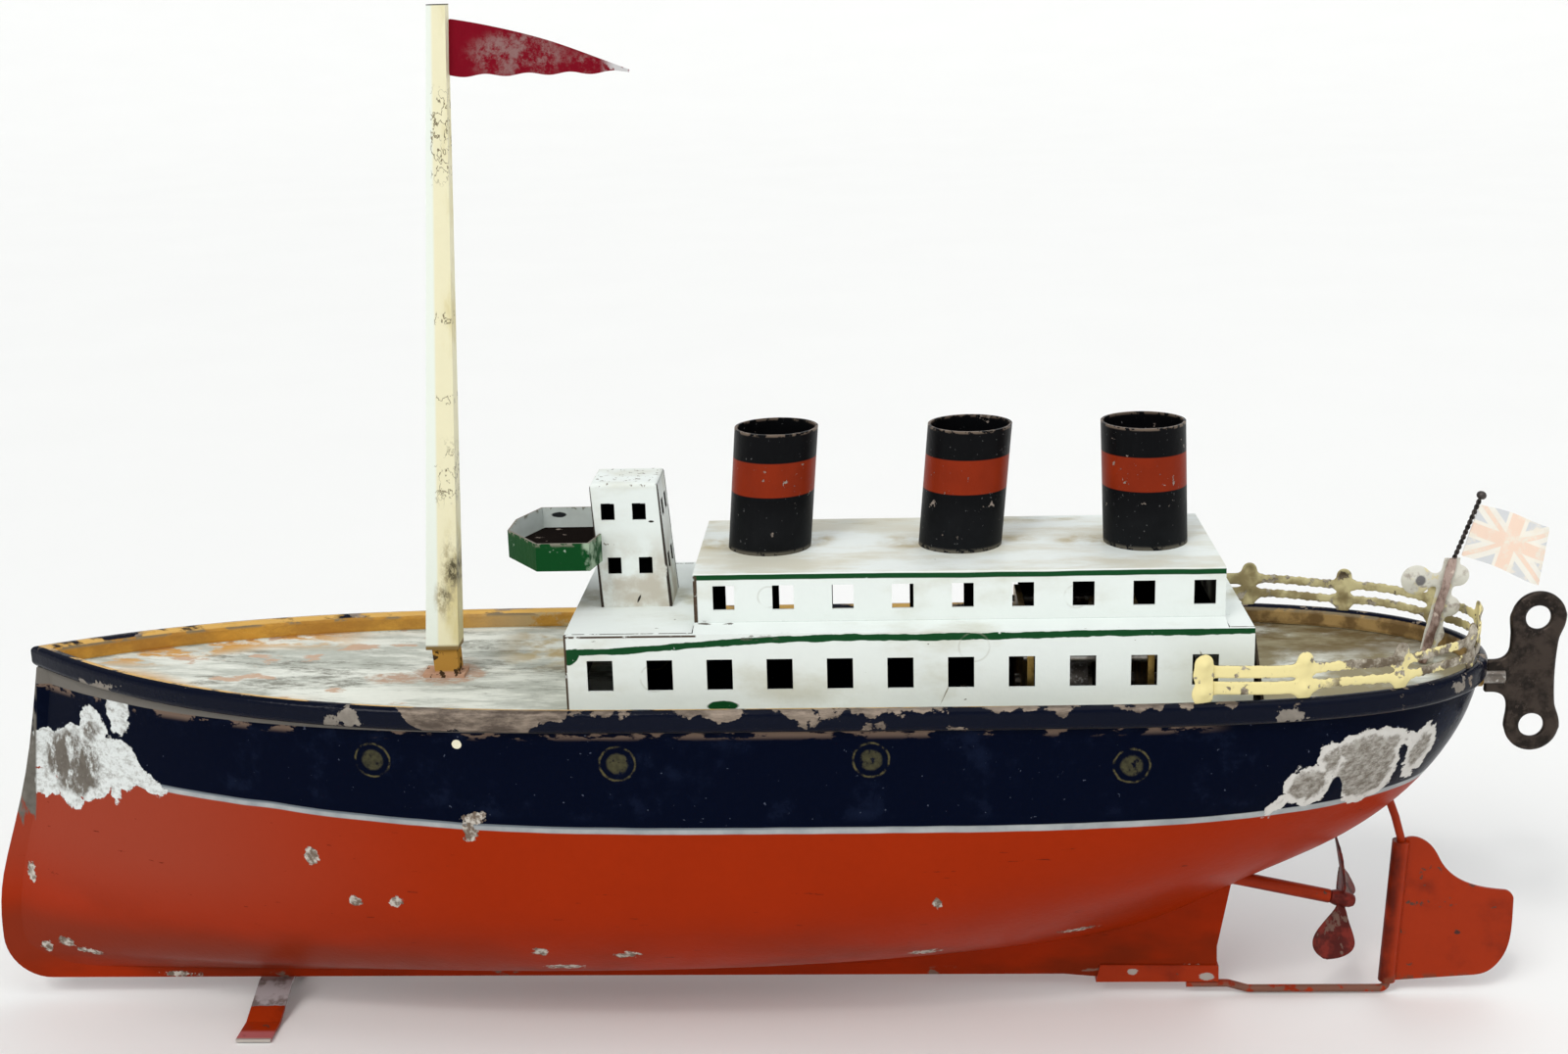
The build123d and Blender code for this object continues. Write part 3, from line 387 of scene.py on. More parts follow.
    chips = (
        (-83.6, 42.6, 1.3, 1.9, 10), (-75.8, 33.4, 1.5, 1.1, -30), (-67.6, 33.7, 1.5, 1.1), (-149.6, 29.2, 1, 1.9),
        (-148.4, 12.2, 1.3, 1.3), (-143.6, 14, 1.7, 1.2, -30), (-138.6, 12, 2.2, 0.8, -10),
        (-50.6, 52.3, 2.3, 1.2, 20), (-51.6, 49.4, 1.4, 1.8), (-40.8, 21.6, 1.6, 1.1), (-36.6, 16, 3.2, 0.8),
        (-24.2, 20.6, 2.6, 0.9), (33.6, 17, 3, 0.9), (35.8, 33.6, 0.7, 1.2), (-122, 5.2, 3, 0.5), (64, 19, 3, 0.6),
        (88, 5.5, 2.4, 1),
    )
    chip_mask = look.field(chips).ragged(1.5, 0.7, 0.08, 2) * port
    other = look.flakes(0.7, 0.16, 8, 60, 0.004) * (1 - port)
    for mask in (chip_mask, other):
        look.lay(
            mask, look.mix(look.grain(0.9, 5).soft(0.4, 0.6), (196, 190, 180), (112, 98, 86)), 0.45, metal=0.2,
            height=-0.8,
        )
    look.lay(look.field(((-52.8, 67.2, 0.9, 0.9),)).ragged(0.15, 1, 0.06) * port, (232, 226, 200), 0.5)
    keel = look.z.soft(6.6, 5.2) * look.flakes(0.62, 0.3, 6, 8, 0.02, 0.4)
    look.lay(keel, (120, 96, 84), 0.5, metal=0.3)

    edge = look.z.soft(67.8, 69.2) * look.flakes(0.52, 0.35, 7, 12, 0.02, 0.35)
    look.lay(edge * look.x.soft(90, 80), (112, 94, 82), 0.5, metal=0.2)
    inside = look.either(abs(look.y).soft(0.02, 0), look.z.soft(69.5, 69.66))
    look.lay(inside, (110, 106, 100), 0.5)
    look.make(0.05, "hull_port", "hull_starboard")


hull_material()


# ---------------------------------------------------------------- deck tray with its bead
def deck_material():
    look = enamel("deck_paint", (220, 222, 212), 0.55, 0)
    ahead = look.calc("MAXIMUM", (-20 - look.x) / 124.5, 0)
    sheer = ahead * ahead * 3.4
    depth = look.z - (sheer + GUNWALE)

    streak = (0.25, 1.0, 1.0)
    cloud = look.grain(0.16, 9, 0.72, streak, 2).soft(0.42, 0.6)
    look.lay(cloud, look.mix(look.grain(0.5, 6, shift=3), (190, 194, 184), (166, 168, 158)), 0.6)
    dirt = look.grain(0.12, 9, 0.75, 0.3, 31).soft(0.5, 0.62)
    mottle = look.grain(0.8, 7, 0.75, 0.4).soft(0.36, 0.56)
    look.lay(dirt * mottle, (134, 134, 124), 0.6)
    primer = look.flakes(0.6, 0.12, 9, 44, 0.02, 0.55) * look.x.soft(-52, -72)
    look.lay(primer, look.mix(look.grain(0.4, 5), (202, 178, 158), (184, 154, 130)), 0.55, height=-0.4)
    around_mast = look.field(((-60, 0, 7, 6), (-70, -3, 6, 3)), look.x, look.y).ragged(2, 0.3, 0.6, 5)
    look.lay(around_mast * mottle, (178, 152, 132), 0.55)
    aft = look.x.soft(88, 100)
    look.lay(aft * look.grain(0.09, 6, shift=12).soft(0.34, 0.56), (146, 138, 112), 0.5)
    brown_aft = look.grain(0.12, 7, 0.7, 0.4, 5).soft(0.34, 0.6)
    look.lay(aft * look.y.soft(-6, 18) * brown_aft, (104, 88, 60), 0.5)
    shade = look.x.soft(-22, -34) * look.x.soft(-56, -44) * look.grain(0.15, 6, shift=1).soft(0.4, 0.6)
    look.lay(shade * look.y.soft(-2, 14), (178, 160, 120), 0.5)

    wall = depth.soft(-3.75, -3.55)
    tone = look.grain(0.12, 7, 0.72, 0.5, 6).soft(0.34, 0.64)
    look.lay(wall, look.mix(tone, OCHRE, (170, 122, 52)), 0.35, shine=0.2)
    far_bow = look.x.soft(-96, -126)
    beside = (abs(look.y) + far_bow * 14).soft(12, 20)
    spill = look.x.soft(-78, -96) * beside * look.grain(0.09, 7, 0.65, 0.5, 14).soft(0.46, 0.52)
    look.lay(spill * (1 - wall), look.mix(look.grain(0.25, 6), (208, 168, 104), (190, 138, 76)), 0.45)
    pale = wall * look.x.soft(-74, -30) * look.flakes(0.46, 0.14, 7, 24, 0.04)
    look.lay(pale, (186, 172, 136), 0.5)
    aft_wall = wall * look.x.soft(84, 92)
    look.lay(aft_wall, look.mix(look.grain(0.2, 6, shift=7).soft(0.4, 0.6), (168, 138, 88), (112, 88, 54)), 0.45)
    grey_lip = wall * depth.soft(-1.4, -0.7) * look.flakes(0.5, 0.25, 6, 29, 0.03, 0.4)
    look.lay(grey_lip, (126, 112, 86), 0.5)

    outward = look.nx * look.x * 0.2 + look.ny * look.y
    outer = outward.soft(0.5, 3)
    on_top = depth.soft(-1.6, -1.2) * look.nz.soft(0.5, 0.7)
    on_bead = look.either(outer, on_top)
    look.lay(on_bead, NAVY, rough=0.2, shine=0.1)

    nibble = look.calc("MULTIPLY_ADD", look.grain(0.16, 6, 0.6, (0.8, 1, 0.8), 27) - 0.5, 14, depth)
    bald = look.x.soft(-66, -57) * look.x.soft(-28, -40)
    middle = look.x.soft(-40, -28) * look.x.soft(44, 34)
    later = look.x.soft(34, 44) * look.x.soft(94, 84)
    limit = bald * -5.6 + middle * -1.9
    limit = limit + later * -1.2 + 1.2
    gone = (nibble - limit).soft(-0.12, 0.12)
    tin = look.mix(look.grain(0.4, 7, 0.72, 0.3).soft(0.36, 0.64), (146, 132, 118), (84, 74, 66))
    look.lay(gone * on_bead, tin, 0.45, metal=0.25, height=-0.7, shine=0.1)
    spots = look.flakes(0.655, 0.2, 6, 50, 0.01, 0.6) * on_bead
    look.lay(spots, tin, rough=0.45, metal=0.25, height=-0.7)
    named = look.field(
        (
            (99.8, 71, 2.6, 1.3), (133, 72, 1.4, 1.3), (-128, 72.6, 5, 1, 8), (-72.4, 72.6, 2.4, 1.8),
            (-76, 71.4, 1.6, 1.4),
        ),
    ).ragged(2.4, 0.5, 0.08)
    look.lay(
        named * outer, look.mix(look.grain(0.6, 5), (158, 150, 140), (98, 92, 84)), 0.5, metal=0.2, height=-0.6
    )
    gold = look.nz.soft(0.4, 0.6) * depth.soft(-0.9, -0.5) * (1 - outer) * look.x.soft(60, 30)
    look.lay(gold * look.grain(0.2, 5, 0.6, 0.4, 18).soft(0.42, 0.5), (206, 160, 74), 0.3, shine=0.5)
    # Downward faces are painted dark grey: painted shade under the deck tray.
    look.lay(look.nz.soft(-0.6, -0.9), (52, 48, 44), 0.6)
    look.make(0.06, "deck")


deck_material()


# ---------------------------------------------------------------- cabins and bridge
def white_enamel(name):
    look = enamel(name, WHITE, 0.42, 0.1, 0.03)
    stain = look.grain(0.07, 6, 0.6, 0.5, 8).soft(0.5, 0.72)
    look.lay(stain, (206, 208, 196), 0.5)
    ticks = look.flakes(0.735, 0.55, 4, 3, 0.006, 0.6)
    look.lay(ticks, (120, 118, 108), 0.5)
    return look


def cabin_material():
    look = white_enamel("cabin_paint")
    roof = look.nz.soft(0.8, 0.95) * look.z.soft(95.6, 95.9)
    smear = roof * look.grain(0.05, 6, 0.65, (0.5, 1.4, 1), 2).soft(0.42, 0.62)
    look.lay(smear, (208, 206, 190), 0.5)
    look.lay(roof * look.grain(0.09, 7, 0.7, 0.35, 12).soft(0.52, 0.66) * look.y.soft(4, 14), (188, 182, 156), 0.5)
    # Beige patches around each funnel on the roof: partly painted shadow of the funnels, partly dirt.
    funnel_shadow_and_dirt = ((-4, 1, 7, 6), (13, 3, 5, 5), (32, 1, 7, 6), (52, 3, 5, 4), (66, 1, 8, 6))
    beside = look.field(funnel_shadow_and_dirt, look.x, look.y).soft(-1, 3)
    look.lay(roof * beside * look.grain(0.2, 5).soft(0.3, 0.7), (184, 172, 138), 0.5)

    wander = (look.grain(0.035, 3, shift=5) - 0.5) * 1
    reach = look.grain(0.25, 4, shift=11).soft(0.3, 0.7) * 0.25
    upper = look.z - 95.5 - wander
    upper_line = upper.between(-0.55, 0.45, 0.1) * look.x.soft(-8.9, -8.4)
    climb = look.x.soft(-38, 14) * 2.5
    drift = look.x.soft(10, 94) * 0.5
    middle = 82.5 + climb + (drift + wander)
    lower = abs(look.z - middle)
    lower_line = lower.soft(0.6 + reach, 0.45 + reach)
    lower_line = lower_line * look.z.soft(86.3, 86.1)
    blob = look.field(((-31.4, 81.9, 1.9, 1.1, 50), (-3.6, 72, 2.9, 1))).ragged(0.12, 1, 0.1)
    sides = abs(look.ny).soft(0.75, 0.9)
    green = look.either(upper_line, lower_line, blob) * sides
    rub = 1 - look.flakes(0.7, 0.8, 4, 13, 0.02)
    look.lay(green * rub, GREEN, 0.35)

    low_seam = look.x.soft(-32.3, -32.5)
    high_seam = look.z.between(86.2, 95.8, 0.2) * look.x.soft(-8, -8.2) * abs(look.ny).soft(0.5, 0.8)
    shelf_seam = look.z.between(85.5, 85.9, 0.08) * look.x.soft(-8, -8.4)
    open_seam = look.either(low_seam, high_seam, shelf_seam) * look.flakes(0.36, 0.4, 5, 19, 0.04)
    look.lay(open_seam, (72, 58, 46), 0.6)
    for across, up, radius in ((-16.2, 77.6, 2.6), (5.2, 91.6, 2.0), (43.0, 83.0, 2.8), (62.0, 91.0, 2.2)):
        off = look.calc(
            "SQRT", look.calc("POWER", abs(look.x - across), 2) + look.calc("POWER", abs(look.z - up), 2)
        )
        ghost = off.between(radius - 0.15, radius + 0.15, 0.15) * look.flakes(0.45, 0.3, 5, across, 0.1) * sides
        look.lay(ghost * 0.35, (168, 166, 152))
    scratches = ((38.4, 75.6, 0.12, 3.4, -24), (84.6, 80.4, 0.15, 1.3, 20), (-14.8, 78.2, 0.1, 0.9, -30))
    scratch = look.field(scratches).ragged(0.08, 1, 0.06)
    look.lay(scratch * sides, (140, 136, 120), 0.5)

    scuffs = look.z.between(84.8, 87, 0.3) * look.flakes(0.62, 0.5, 6, 16, 0.01, 0.4) * look.x.soft(12, -4)
    look.lay(scuffs, (96, 92, 84), 0.5)
    # Inner faces below the roof are painted near black: painted shade for the dark inside of the cabin.
    half = look.level(look.z.soft(86.4, 86.9), 23.9, 19.1)
    inner_shade = abs(look.y).soft(half, half - 0.12)
    below_roof = 1 - look.nz.soft(0.3, 0.6)
    look.lay(inner_shade * below_roof, PAINTED_INSIDE_SHADE, 0.9)
    look.make(0.05, "cabin_shell")


def end_material(name, node, outward):
    """The folded end sheets: white outside, painted shade on the inner faces, dark at their open seams."""
    look = white_enamel(name)
    facing = look.either(look.nz.soft(0.4, 0.7), (look.nx * outward).soft(0.3, 0.6))
    # Faces turned neither up nor outward are painted dark: painted shade on the inner side of the sheet.
    look.lay(1 - facing, (46, 40, 34), 0.7)
    foot = abs(look.y).soft(9, 2) * look.grain(0.12, 5, shift=4).soft(0.4, 0.6) * look.z.soft(85.6, 85.8)
    look.lay(foot, (188, 188, 170), 0.5)
    seam = abs(look.y).soft(22.9, 23.2)
    look.lay(seam * look.flakes(0.45, 0.5, 5, 7, 0.03), (70, 62, 54), 0.6)
    look.make(0.05, node)


TOWER_X, TOWER_FOOT = -21.1, 86
TOWER_LEAN = 0.0655  # forward per unit up


def tower_material():
    look = white_enamel("tower_paint")
    wash = look.z.soft(103, 92) * look.grain(0.13, 5, 0.6, shift=7).soft(0.36, 0.62)
    look.lay(wash, (190, 184, 170), 0.5)
    corner = abs(look.y).soft(5.5, 6) * abs(look.nx).soft(0.6, 0.8)
    look.lay(corner * look.flakes(0.4, 0.4, 5, 7, 0.04), (60, 52, 44), 0.6)
    lean = (look.z - TOWER_FOOT) * TOWER_LEAN
    from_middle = abs(look.x - TOWER_X + lean)
    slit = (
        from_middle.soft(6.25, 6.45)
        * abs(look.ny).soft(0.5, 0.9)
        * look.flakes(0.38, 0.25, 5, 3, 0.03, (1, 1, 0.4))
    )
    look.lay(slit, (50, 42, 36), 0.6)
    marks = look.field(((-20.6, 87.6, 0.2, 0.8, -25), (-17.6, 103, 0.5, 0.2), (-18.2, 95.6, 0.3, 0.4)))
    marks = marks.ragged(0.06, 1, 0.05)
    look.lay(marks * look.ny.soft(-0.5, -0.9), (40, 36, 32), 0.6)
    rim = look.z.soft(109.6, 110.2) * look.flakes(0.62, 0.9, 4, 2, 0.02)
    look.lay(rim, (120, 112, 100), 0.5)
    # The tower's inner faces below its top are painted near black: painted shade inside the tower.
    inner_shade = abs(look.y).soft(6.1, 5.95) * from_middle.soft(6.6, 6.3) * look.z.soft(110.3, 110.1)
    look.lay(inner_shade, PAINTED_INSIDE_SHADE, 0.9)
    look.make(0.05, "bridge_tower")


def bridge_material():
    look = enamel("bridge_green", (10, 66, 28), 0.35, 0.05)
    centre_x = look.x - -34
    outward = look.nx * centre_x + look.ny * look.y
    look.lay(look.flakes(0.66, 0.4, 6, 6, 0.01), (150, 168, 150), 0.5)
    tab = look.x.soft(-30.4, -29.4) * look.y.soft(0, -2) * look.grain(0.35, 5, shift=3).soft(0.4, 0.6)
    look.lay(tab, (150, 170, 146), 0.5)
    inner = outward.soft(0.5, -0.5)
    look.lay(inner, look.mix(look.grain(0.2, 4), (214, 222, 218), (176, 182, 176)), 0.45)
    look.lay(inner * look.field(((-38.5, 99.4, 1.5, 0.55),)).ragged(0.1, 1, 0.08), (40, 42, 44), 0.5)
    look.lay(look.nz.soft(0.5, 0.8), (120, 112, 100), 0.4, metal=0.4)
    look.lay(look.z.soft(100, 100.8) * look.flakes(0.56, 0.6, 5, 9, 0.02), (126, 124, 110), 0.45)
    look.make(0.05, "bridge_parapet")

    floor = enamel("bridge_brown", (96, 78, 70), 0.5, 0)
    # The far half of the floor is painted near black: painted shadow on the floor.
    floor.lay(floor.y.soft(-6, -1), (24, 20, 18), 0.6)
    floor.lay(floor.flakes(0.62, 0.4, 6, 6, 0.02), (140, 128, 118), 0.5)
    floor.make(0.05, "bridge_floor")


cabin_material()
end_material("cabin_front_paint", "cabin_front", -1.0)
end_material("cabin_aft_paint", "cabin_aft", 1.0)
tower_material()
bridge_material()


# ---------------------------------------------------------------- funnels
def funnel_material(name, node, shift):
    look = enamel(name, (9, 10, 12), 0.36, 0.06, 0.15)
    band = look.z.between(107.6, 114.2, 0.12)
    look.lay(look.z.soft(107.6, 100), look.mix(look.grain(0.3, 6, shift=shift), (9, 10, 12), (24, 26, 28)), 0.5)
    look.lay(band, look.mix(look.grain(0.15, 5, shift=shift), (146, 46, 16), (110, 34, 14)), 0.38)
    dust = look.flakes(0.7, 1.4, 3, shift, 0.02)
    look.lay(dust, (96, 96, 96), 0.6)
    chips = look.flakes(0.675, 0.34, 7, shift + 5, 0.008) * look.z.soft(98, 101)
    look.lay(chips, (150, 138, 128), 0.5, metal=0.3, height=-0.6)
    rim = look.z.soft(119.2, 119.6) * look.flakes(0.5, 0.6, 5, shift, 0.03)
    look.lay(rim, (112, 98, 86), 0.45, metal=0.3)
    foot = look.z.soft(97.2, 96.5) * look.flakes(0.45, 0.7, 5, shift + 2, 0.03)
    look.lay(foot, (92, 88, 78), 0.5)
    look.make(0.05, node)


for index, name in enumerate(("funnel_fore", "funnel_mid", "funnel_aft")):
    funnel_material(f"{name}_paint", name, 3.0 + 17.0 * index)


# ---------------------------------------------------------------- mast, flags, rail
MAST_AHEAD, MAST_FOOT = 60.6, 76.4  # where the mast stands, ahead of the middle, and the height of its foot
MAST_LEAN = 0.06  # forward per unit up


def mast_material():
    look = enamel("mast_paint", (232, 226, 192), 0.4, 0.1, 0.04)
    lean = (look.z - MAST_FOOT) * MAST_LEAN
    across = look.x + MAST_AHEAD - lean
    # A paler strip along the mast's forward edge: painted highlight where the rounded edge catches the light.
    look.lay(across.soft(-0.5, -1.1), (232, 238, 228), 0.35)
    # Darker cream in patches on the mast's aft side: painted shade.
    look.lay(
        across.soft(0.2, 1.4) * look.grain(0.08, 6, 0.65, (1, 1, 0.4), 9).soft(0.45, 0.62), (214, 202, 152), 0.45
    )
    lines = look.grain(0.45, 3, 0.6, (1, 1, 0.6), 2).between(0.487, 0.513, 0.008)
    zones = look.either(
        look.z.between(168, 184, 2), look.z.between(107, 117, 3), look.z.between(125.6, 127.4, 0.3),
        look.z.between(141, 143.4, 0.3),
    )
    broken = look.grain(0.25, 4, shift=13).soft(0.4, 0.48)
    look.lay(lines * zones * broken * across.soft(-1.3, -0.9), (128, 118, 92), 0.5, height=-0.3)
    mottled = look.grain(0.7, 8, 0.75, (1, 1, 0.6), 6).soft(0.4, 0.6)
    stain = look.field(((1.8, 93, 2, 7.5), (0.6, 87, 2.2, 4.5)), across, look.z).soft(-0.6, 1.4)
    look.lay(stain * mottled, (172, 160, 126), 0.5)
    dark = look.field(((2.3, 92.6, 1.6, 3.4), (0.8, 88, 1, 2)), across, look.z).soft(-0.5, 1.1)
    look.lay(dark * look.either(mottled, 0.45), (84, 78, 58), 0.55)
    look.lay(look.z.soft(77.6, 76.9), (128, 104, 62), 0.5)
    # The mast's open top is painted near black: painted shade inside the folded tube.
    look.lay(look.z.soft(199.3, 199.55), PAINTED_INSIDE_SHADE, 0.8)
    look.make(0.06, "mast")

    stub = enamel("mast_foot_paint", (176, 132, 62), 0.45, 0)
    stub.lay(stub.z.soft(72, 71.4), (188, 150, 124), 0.5)
    stub.lay(stub.flakes(0.58, 0.5, 6, 4, 0.02), (70, 54, 36), 0.6)
    stub.make(0.05, "mast_foot")


mast_material()


def pennant_material():
    look = enamel("pennant_paint", (118, 6, 26), 0.35, 0.06, 0.1)
    fade = (
        look.grain(0.3, 9, 0.8, shift=3).soft(0.44, 0.6)
        * look.field(((-39, 190.2, 9, 4.4), (-27, 188.6, 3.4, 1.8))).soft(-1.2, 1.6)
    )
    look.lay(fade, (138, 104, 102), 0.5)
    tip = look.x.soft(-24, -21)
    look.lay(tip * look.flakes(0.42, 0.5, 5, 6, 0.03), (206, 204, 204), 0.4, metal=0.3)
    return look.make(0.05, "pennant")


pennant_paint = pennant_material()


def rail_material():
    look = enamel("rail_paint", CREAM, 0.4, 0.1, 0.05)
    look.lay(
        look.y.soft(2, 8), look.mix(look.grain(0.2, 6, shift=14).soft(0.4, 0.6), (206, 196, 150), (150, 136, 98)),
        0.5,
    )
    bald = look.x.soft(104, 110) * look.y.soft(2, -2) * look.flakes(0.485, 0.16, 5, 3, 0.02)
    few = look.flakes(0.6, 0.35, 6, 8, 0.012)
    for mask in (bald, few):
        look.lay(
            mask, look.mix(look.grain(0.3, 7, 0.7).soft(0.36, 0.62), (192, 184, 168), (104, 92, 76)), 0.42,
            metal=0.15, height=-0.6,
        )
    rims = look.nz.soft(0.5, 0.8) * look.flakes(0.46, 0.5, 5, 1, 0.03)
    look.lay(rims, (120, 108, 86), 0.45, metal=0.3)
    return look.make(0.06, "stern_rail")


rail_paint = rail_material()


def bracket_material():
    look = Look("bracket_tin", (218, 216, 204), 0.4, 0.1, 0.1)
    look.lay(look.grain(0.35, 6, 0.65).soft(0.5, 0.66), (166, 156, 144), 0.45)
    look.lay(look.field(((129.7, 87.2, 1, 1),)).ragged(0.2, 0.8, 0.2), (120, 118, 118), 0.5)
    look.lay(look.flakes(0.6, 0.4, 6, 5, 0.02), (222, 212, 170), 0.4)
    look.height = look.grain(0.6, 3)
    return look.make(0.05, "staff_bracket")


bracket_tin = bracket_material()


def ensign_material():
    """A faded flag: a pale cross and saltire in peach on cream, with grey corners between."""
    look = Look("ensign_print", (240, 236, 226), 0.45, 0, 0.05)
    hoist, fly = (136.9, 92.2), (152.2, 86.0)
    dx, dz = fly[0] - hoist[0], fly[1] - hoist[1]
    ux, uz = 3.0, 10.7
    det = dx * uz - dz * ux
    px = look.x - hoist[0]
    pz = look.z - hoist[1]
    u = px * (uz / det) - pz * (ux / det)
    v = pz * (dx / det) - px * (dz / det)
    u = u - 0.5
    v = v - 0.52
    down = abs(u - v)
    rising = abs(u + v)
    to_diagonal = look.calc("MINIMUM", down, rising)
    to_cross = look.calc("MINIMUM", abs(u) * 1.4, abs(v))
    look.lay(to_diagonal.soft(0.15, 0.17) * to_cross.soft(0.15, 0.17), (213, 215, 217), 0.45)
    peach = (242, 216, 197)
    look.lay(to_diagonal.soft(0.055, 0.04), peach)
    look.lay(to_diagonal.soft(0.05, 0.07) * to_cross.soft(0.17, 0.15), (242, 236, 224))
    look.lay(to_cross.soft(0.115, 0.095), peach)
    look.lay(look.grain(0.4, 6, 0.6, shift=3).soft(0.5, 0.68), (238, 230, 216), 0.5)
    look.height = look.grain(0.5, 3)
    return look.make(0.04, "ensign")


ensign_print = ensign_material()


def steel_material(name, light, dark, rough, metal, *names):
    look = Look(name, light, rough, metal)
    look.lay(look.grain(0.25, 7, 0.65).soft(0.4, 0.62), dark)
    look.lay(look.flakes(0.6, 1.2, 5, 4, 0.03), light, rough - 0.1)
    look.rough = look.level(look.grain(0.5, 4, shift=7), rough - 0.08, rough + 0.15)
    look.height = look.grain(1.2, 5)
    return look.make(0.04, *names)


key_steel = steel_material("key_steel", (66, 57, 51), (36, 31, 28), 0.42, 0.75, "winding_key")


def wire_material():
    """The staff: a worn brown strip below, dark twisted wire above."""
    look = Look("dark_wire", (74, 68, 66), 0.42, 0.6)
    look.lay(look.grain(0.8, 6).soft(0.4, 0.6), (34, 31, 30))
    strip = look.z.soft(92, 91.4)
    look.lay(
        strip, look.mix(look.grain(0.35, 7, 0.7, (1, 1, 0.5)).soft(0.4, 0.6), (176, 154, 144), (98, 74, 64)), 0.5,
        metal=0.1,
    )
    look.lay(strip * look.flakes(0.6, 0.5, 6, 9, 0.02), (206, 188, 176), 0.45)
    look.height = look.grain(1.2, 4)
    return look.make(0.04, "flagstaff")


dark_wire = wire_material()
arbor_steel = steel_material(
    "arbor_steel", (176, 172, 166), (112, 104, 96), 0.3, 0.9, "winding_arbor", "ratchet_wheel", "click",
    "mainspring", "second_arbor", "output_arbor", "drive_blade", "propeller_shaft", "motor_pillars",
)
dull_brass = steel_material(
    "dull_brass", (176, 146, 82), (120, 94, 48), 0.35, 0.9, "key_bush", "motor_plate_fore", "motor_plate_aft",
    "great_wheel", "second_wheel", "shaft_cup",
)


# ---------------------------------------------------------------- red running gear
def red_gear(name, shift):
    look = enamel(name, (150, 44, 10), 0.32, 0.12)
    look.lay(look.grain(0.12, 6, shift=shift).soft(0.48, 0.7), (126, 36, 10))
    look.lay(look.flakes(0.665, 0.4, 6, shift + 4, 0.01), (92, 62, 52), 0.5, metal=0.3, height=-0.5)
    return look


def gear_materials():
    wire = red_gear("wire_paint", 3.0)
    low = wire.z.soft(3.2, 1.6)
    wire.lay(low * wire.flakes(0.46, 0.3, 6, 9, 0.03), (122, 84, 70), 0.45, metal=0.3)
    wire.make(0.05, "rudder_post")
    tube = red_gear("tube_paint", 8.0)
    # Downward faces are darker red in patches: painted shade under the stern tube.
    tube.lay(tube.nz.soft(-0.2, -0.6) * tube.grain(0.2, 4).soft(0.4, 0.6), (120, 34, 14))
    tube.make(0.05, "stern_tube")
    shoe = red_gear("shoe_paint", 12.0)
    shoe.lay(
        shoe.field(((91, 4, 1.7, 0.8), (76, 5, 1, 0.6))).ragged(0.7, 0.7, 0.1), (168, 160, 152), 0.4, metal=0.4
    )
    shoe.make(0.05, "skeg_shoe")
    blade = red_gear("rudder_paint", 16.0)
    tube_x = blade.x - blade.z * 0.0454
    # The forward side of the rudder's tube is darker red: painted shade where the tube curves away from the light.
    blade.lay(tube_x.soft(128.2, 126.4) * blade.grain(0.15, 5).soft(0.2, 0.6), (84, 22, 6), 0.4)
    blade.lay(blade.field(((140.8, 13.2, 0.6, 0.4),)).ragged(0.1, 1, 0.1), (70, 40, 36), 0.5)
    blade.lay(blade.z.soft(4.6, 3.2) * blade.flakes(0.5, 0.4, 5, 6, 0.02), (110, 58, 40), 0.5)
    blade.make(0.05, "rudder")
    stand = red_gear("stand_paint", 21.0)
    stand.lay(abs(stand.y).soft(15.8, 17), (170, 92, 92), 0.45)
    bald = (8.6 - abs(stand.y)).ragged(0.9, 0.3, 0.1)
    stand.lay(
        bald, stand.mix(stand.grain(0.3, 6).soft(0.42, 0.6), (186, 182, 184), (130, 120, 116)), 0.4, metal=0.4,
        height=-0.6,
    )
    stand.lay(abs(stand.y).soft(19, 19.4), (190, 184, 176), 0.4, metal=0.5)
    stand.make(0.05, "front_stand")


gear_materials()


def propeller_material():
    look = enamel("propeller_paint", (74, 24, 20), 0.4, 0.1, 0.2)
    look.lay(look.grain(0.3, 6, shift=2).soft(0.42, 0.62), (112, 38, 30), 0.42)
    look.lay(look.flakes(0.585, 0.22, 7, 9, 0.02), (108, 82, 72), 0.45, metal=0.3, height=-0.5)
    return look.make(0.05, "propeller")


propeller_paint = propeller_material()


# ---------------------------------------------------------------- pieces cut and bent from sheet
def disc(u, v, across, up, radius):
    """How far inside a circle."""
    return radius - np.hypot(u - across, v - up)


def slab(u, v, left, right, low, high, corner):
    """How far inside a rectangle with rounded corners."""
    du = np.abs(u - (left + right) / 2) - (right - left) / 2 + corner
    dv = np.abs(v - (low + high) / 2) - (high - low) / 2 + corner
    return corner - np.hypot(np.maximum(du, 0), np.maximum(dv, 0)) - np.minimum(np.maximum(du, dv), 0)


def hull_of(u, v, corners):
    """How far inside a convex outline, given anticlockwise."""
    made = None
    for (x0, y0), (x1, y1) in zip(corners, corners[1:] + corners[:1]):
        side = ((x1 - x0) * (v - y0) - (y1 - y0) * (u - x0)) / math.hypot(x1 - x0, y1 - y0)
        made = side if made is None else np.minimum(made, side)
    return made


def fused(a, b, fillet):
    """Both shapes, with a fillet between them."""
    near = np.maximum(fillet - np.abs(a - b), 0) / fillet
    return np.maximum(a, b) + near * near * fillet / 4


